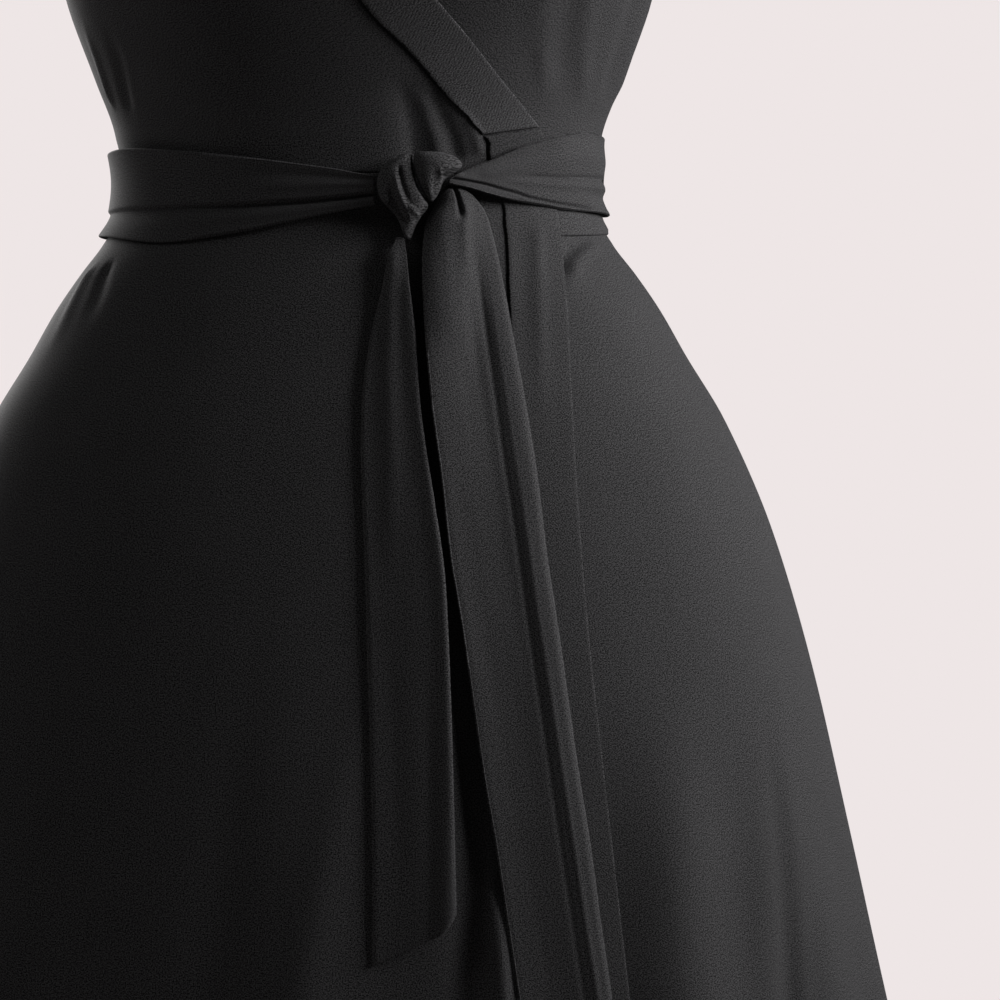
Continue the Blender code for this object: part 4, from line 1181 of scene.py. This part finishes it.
def make_knot(node, table, creases):
    """A lobe of the knot: one skin, then creased where it faces forwards."""
    rings = lobe_rings(table)
    mesh = bpy.data.meshes.new("rolls_" + node)
    mesh.from_pydata(rings.reshape(-1, 3).tolist(), [], ring_faces(rings))
    rolls = new_object("rolls_" + node, mesh)
    remesh = rolls.modifiers.new("skin", "REMESH")
    remesh.mode = "VOXEL"
    remesh.voxel_size = KNOT_VOXEL
    soft = rolls.modifiers.new("soft", "SMOOTH")
    soft.factor = KNOT_SOFTNESS
    soft.iterations = KNOT_SMOOTHING
    graph = bpy.context.evaluated_depsgraph_get()
    skin = bpy.data.meshes.new_from_object(rolls.evaluated_get(graph))
    bpy.data.objects.remove(rolls)
    place = values_of(skin.vertices, "co", 3, np.float32).astype(float)
    square = values_of(skin.vertices, "normal", 3, np.float32).astype(float)
    lift = sum(crease_height(place[:, 0], place[:, 2] + SHOULDER_HEIGHT, crease) for crease in creases)
    place += square * (lift * np.clip(-square[:, 1] * KNOT_CREASE_FACING, 0, 1))[:, None]
    skin.vertices.foreach_set("co", place.astype(np.float32).ravel())
    corner = values_of(skin.loops, "vertex_index", 1, np.int32)[:, 0]
    flat = np.stack([place[:, 0] - place[:, 1] * KNOT_FLAT_DEPTH, place[:, 2]], axis=-1)
    skin.uv_layers.new(name=UV_NAME).data.foreach_set("uv", flat[corner].astype(np.float32).ravel())
    skin.name = "sash_" + node
    skin.materials.clear()
    skin.materials.append(MATERIALS["sash"])
    settle(skin, node)


def fill_in(node, values):
    for socket, value in values:
        node.inputs[socket].default_value = value


def add(tree, kind, values=(), links=(), **settings):
    """A new node with these values, links and settings."""
    node = tree.nodes.new(kind)
    for key, value in settings.items():
        setattr(node, key, value)
    fill_in(node, values)
    for socket, source in links:
        tree.links.new(source, node.inputs[socket])
    return node


def calculate(tree, operation, *terms):
    """A math node whose terms are numbers or the outputs of nodes."""
    numbers = [(i, term) for i, term in enumerate(terms) if isinstance(term, float)]
    outputs = [(i, term) for i, term in enumerate(terms) if not isinstance(term, float)]
    return add(tree, "ShaderNodeMath", numbers, outputs, operation=operation).outputs[0]


def mottle(tree, vector, scale, detail, *more):
    """Noise about nought."""
    values = [("Scale", scale), ("Detail", detail), *more]
    cloud = add(tree, "ShaderNodeTexNoise", values, [("Vector", vector)])
    return calculate(tree, "SUBTRACT", cloud.outputs[0], 0.5)


def jersey(cloth):
    """Fine crepe jersey: crossed ribs of thread broken up by grain, faint cloudiness and streaks."""
    look = CLOTHS[cloth]
    material = bpy.data.materials.new("crepe_jersey_" + cloth)
    material.use_nodes = True
    tree = material.node_tree
    shader = tree.nodes["Principled BSDF"]
    plus, times = partial(calculate, tree, "ADD"), partial(calculate, tree, "MULTIPLY")
    flat = add(tree, "ShaderNodeUVMap", uv_map=UV_NAME).outputs["UV"]
    ribs = []
    for side in (-1, 1):
        turned = math.radians(look["rib_angle"]) * side
        waves = 2 * math.pi / look["pitch"]
        wave = (waves * math.cos(turned), waves * math.sin(turned), 0.0)
        dot = add(tree, "ShaderNodeVectorMath", [(1, wave)], [(0, flat)], operation="DOT_PRODUCT")
        ribs.append(calculate(tree, "SINE", dot.outputs["Value"]))
    ribbed = times(plus(*ribs), WEAVE_HEIGHT * look["rib"])
    grains = mottle(tree, flat, GRAIN_SCALE, GRAIN_DETAIL, ("Roughness", GRAIN_ROUGHNESS))
    height = plus(ribbed, times(grains, GRAIN_HEIGHT))
    bump = add(tree, "ShaderNodeBump", [("Strength", 1.0), ("Distance", BUMP_DISTANCE)], [("Height", height)])

    drawn = add(tree, "ShaderNodeVectorMath", [(1, STREAK_SCALE)], [(0, flat)], operation="MULTIPLY")
    shade = plus(ribbed, times(grains, GRAIN_COLOUR))
    clouds = mottle(tree, flat, CLOUD_SCALE, CLOUD_DETAIL)
    streaks = mottle(tree, drawn.outputs[0], 1.0, STREAK_DETAIL)
    for soft in (clouds, streaks):
        shade = plus(shade, times(soft, CLOUD_COLOUR))
    shade = plus(shade, 0.5)
    mix = add(tree, "ShaderNodeMix", links=[("Factor", shade)], data_type="RGBA", clamp_factor=True)
    # Each cloth's colour is multiplied by its painted light factor, which paints extra light onto the neck
    # band
    for socket, spread in ((6, 1 - COLOUR_SPREAD), (7, 1 + COLOUR_SPREAD)):
        mix.inputs[socket].default_value = [part * look["painted_light"] * spread for part in CLOTH_COLOUR] + [1.0]
    fill_in(shader, CLOTH_SHADER)
    for socket, source in (("Normal", bump.outputs["Normal"]), ("Base Color", mix.outputs[2]),
                           ("Roughness", plus(times(height, ROUGHNESS_CHANGE), CLOTH_ROUGHNESS))):
        tree.links.new(source, shader.inputs[socket])
    return material


def make_lights():
    for name, around, above, aim, distance, size, spread, power, colour in LIGHTS:
        lamp = bpy.data.lights.new(name, "AREA")
        lamp.shape = "SQUARE"
        lamp.size = size
        lamp.spread = math.radians(spread)
        lamp.energy = power
        lamp.color = colour
        holder = new_object(name, lamp)
        a, b = math.radians(around), math.radians(above)
        towards = Vector((math.sin(a) * math.cos(b), -math.cos(a) * math.cos(b), math.sin(b)))
        holder.location = Vector((0.0, 0.0, aim)) + towards * distance
        holder.rotation_euler = (-towards).to_track_quat("-Z", "Y").to_euler()


def make_world():
    """A pale studio backdrop, and a weak even light from all round."""
    world = bpy.data.worlds.new("studio")
    bpy.context.scene.world = world
    world.use_nodes = True
    tree = world.node_tree
    tree.nodes.clear()
    seen = add(tree, "ShaderNodeBackground", [("Color", BACKDROP), ("Strength", 1.0)])
    lit = add(tree, "ShaderNodeBackground", [("Color", AMBIENT_COLOUR), ("Strength", AMBIENT)])
    path = add(tree, "ShaderNodeLightPath").outputs["Is Camera Ray"]
    mix = add(tree, "ShaderNodeMixShader", links=[(0, path), (1, lit.outputs[0]), (2, seen.outputs[0])])
    add(tree, "ShaderNodeOutputWorld", links=[(0, mix.outputs[0])])


def make_floor():
    mesh = bpy.data.meshes.new("floor")
    half = FLOOR_HALF
    corners = [(-half, -half, 0), (half, -half, 0), (half, half, 0), (-half, half, 0)]
    mesh.from_pydata(corners, [], [(0, 1, 2, 3)])
    floor = new_object("floor", mesh)
    floor.location.z = -FLOOR_BELOW
    material = bpy.data.materials.new("floor")
    material.use_nodes = True
    shader = material.node_tree.nodes["Principled BSDF"]
    fill_in(shader, [("Base Color", FLOOR_COLOUR), ("Roughness", FLOOR_ROUGHNESS)])
    mesh.materials.append(material)


def make_camera():
    data = bpy.data.cameras.new("camera")
    data.sensor_width = SENSOR_WIDTH
    data.lens = SENSOR_WIDTH * CAMERA_DISTANCE / VIEW_WIDTH
    camera = new_object("camera", data)
    camera.location = (CAMERA_SIDE, -CAMERA_DISTANCE, -SHOULDER_HEIGHT - CAMERA_BELOW_WAIST)
    camera.rotation_euler = (math.radians(90), 0, 0)
    bpy.context.scene.camera = camera
    bpy.context.scene.view_settings.view_transform = "Standard"


make_camera()
make_world()
make_lights()
make_floor()
MATERIALS = {cloth: jersey(cloth) for cloth in CLOTHS}
make_back()
make_under_front()
make_over_front()
make_ties()
make_knot("knot_wrap", KNOT_WRAP, WRAP_CREASES)
make_knot("knot_lobe", KNOT_LOBE, LOBE_CREASES)
hanging_end("tie_end_rear", TAIL_REAR, REAR_OUT)
hanging_end("tie_end_front", TAIL_FRONT, FRONT_OUT)
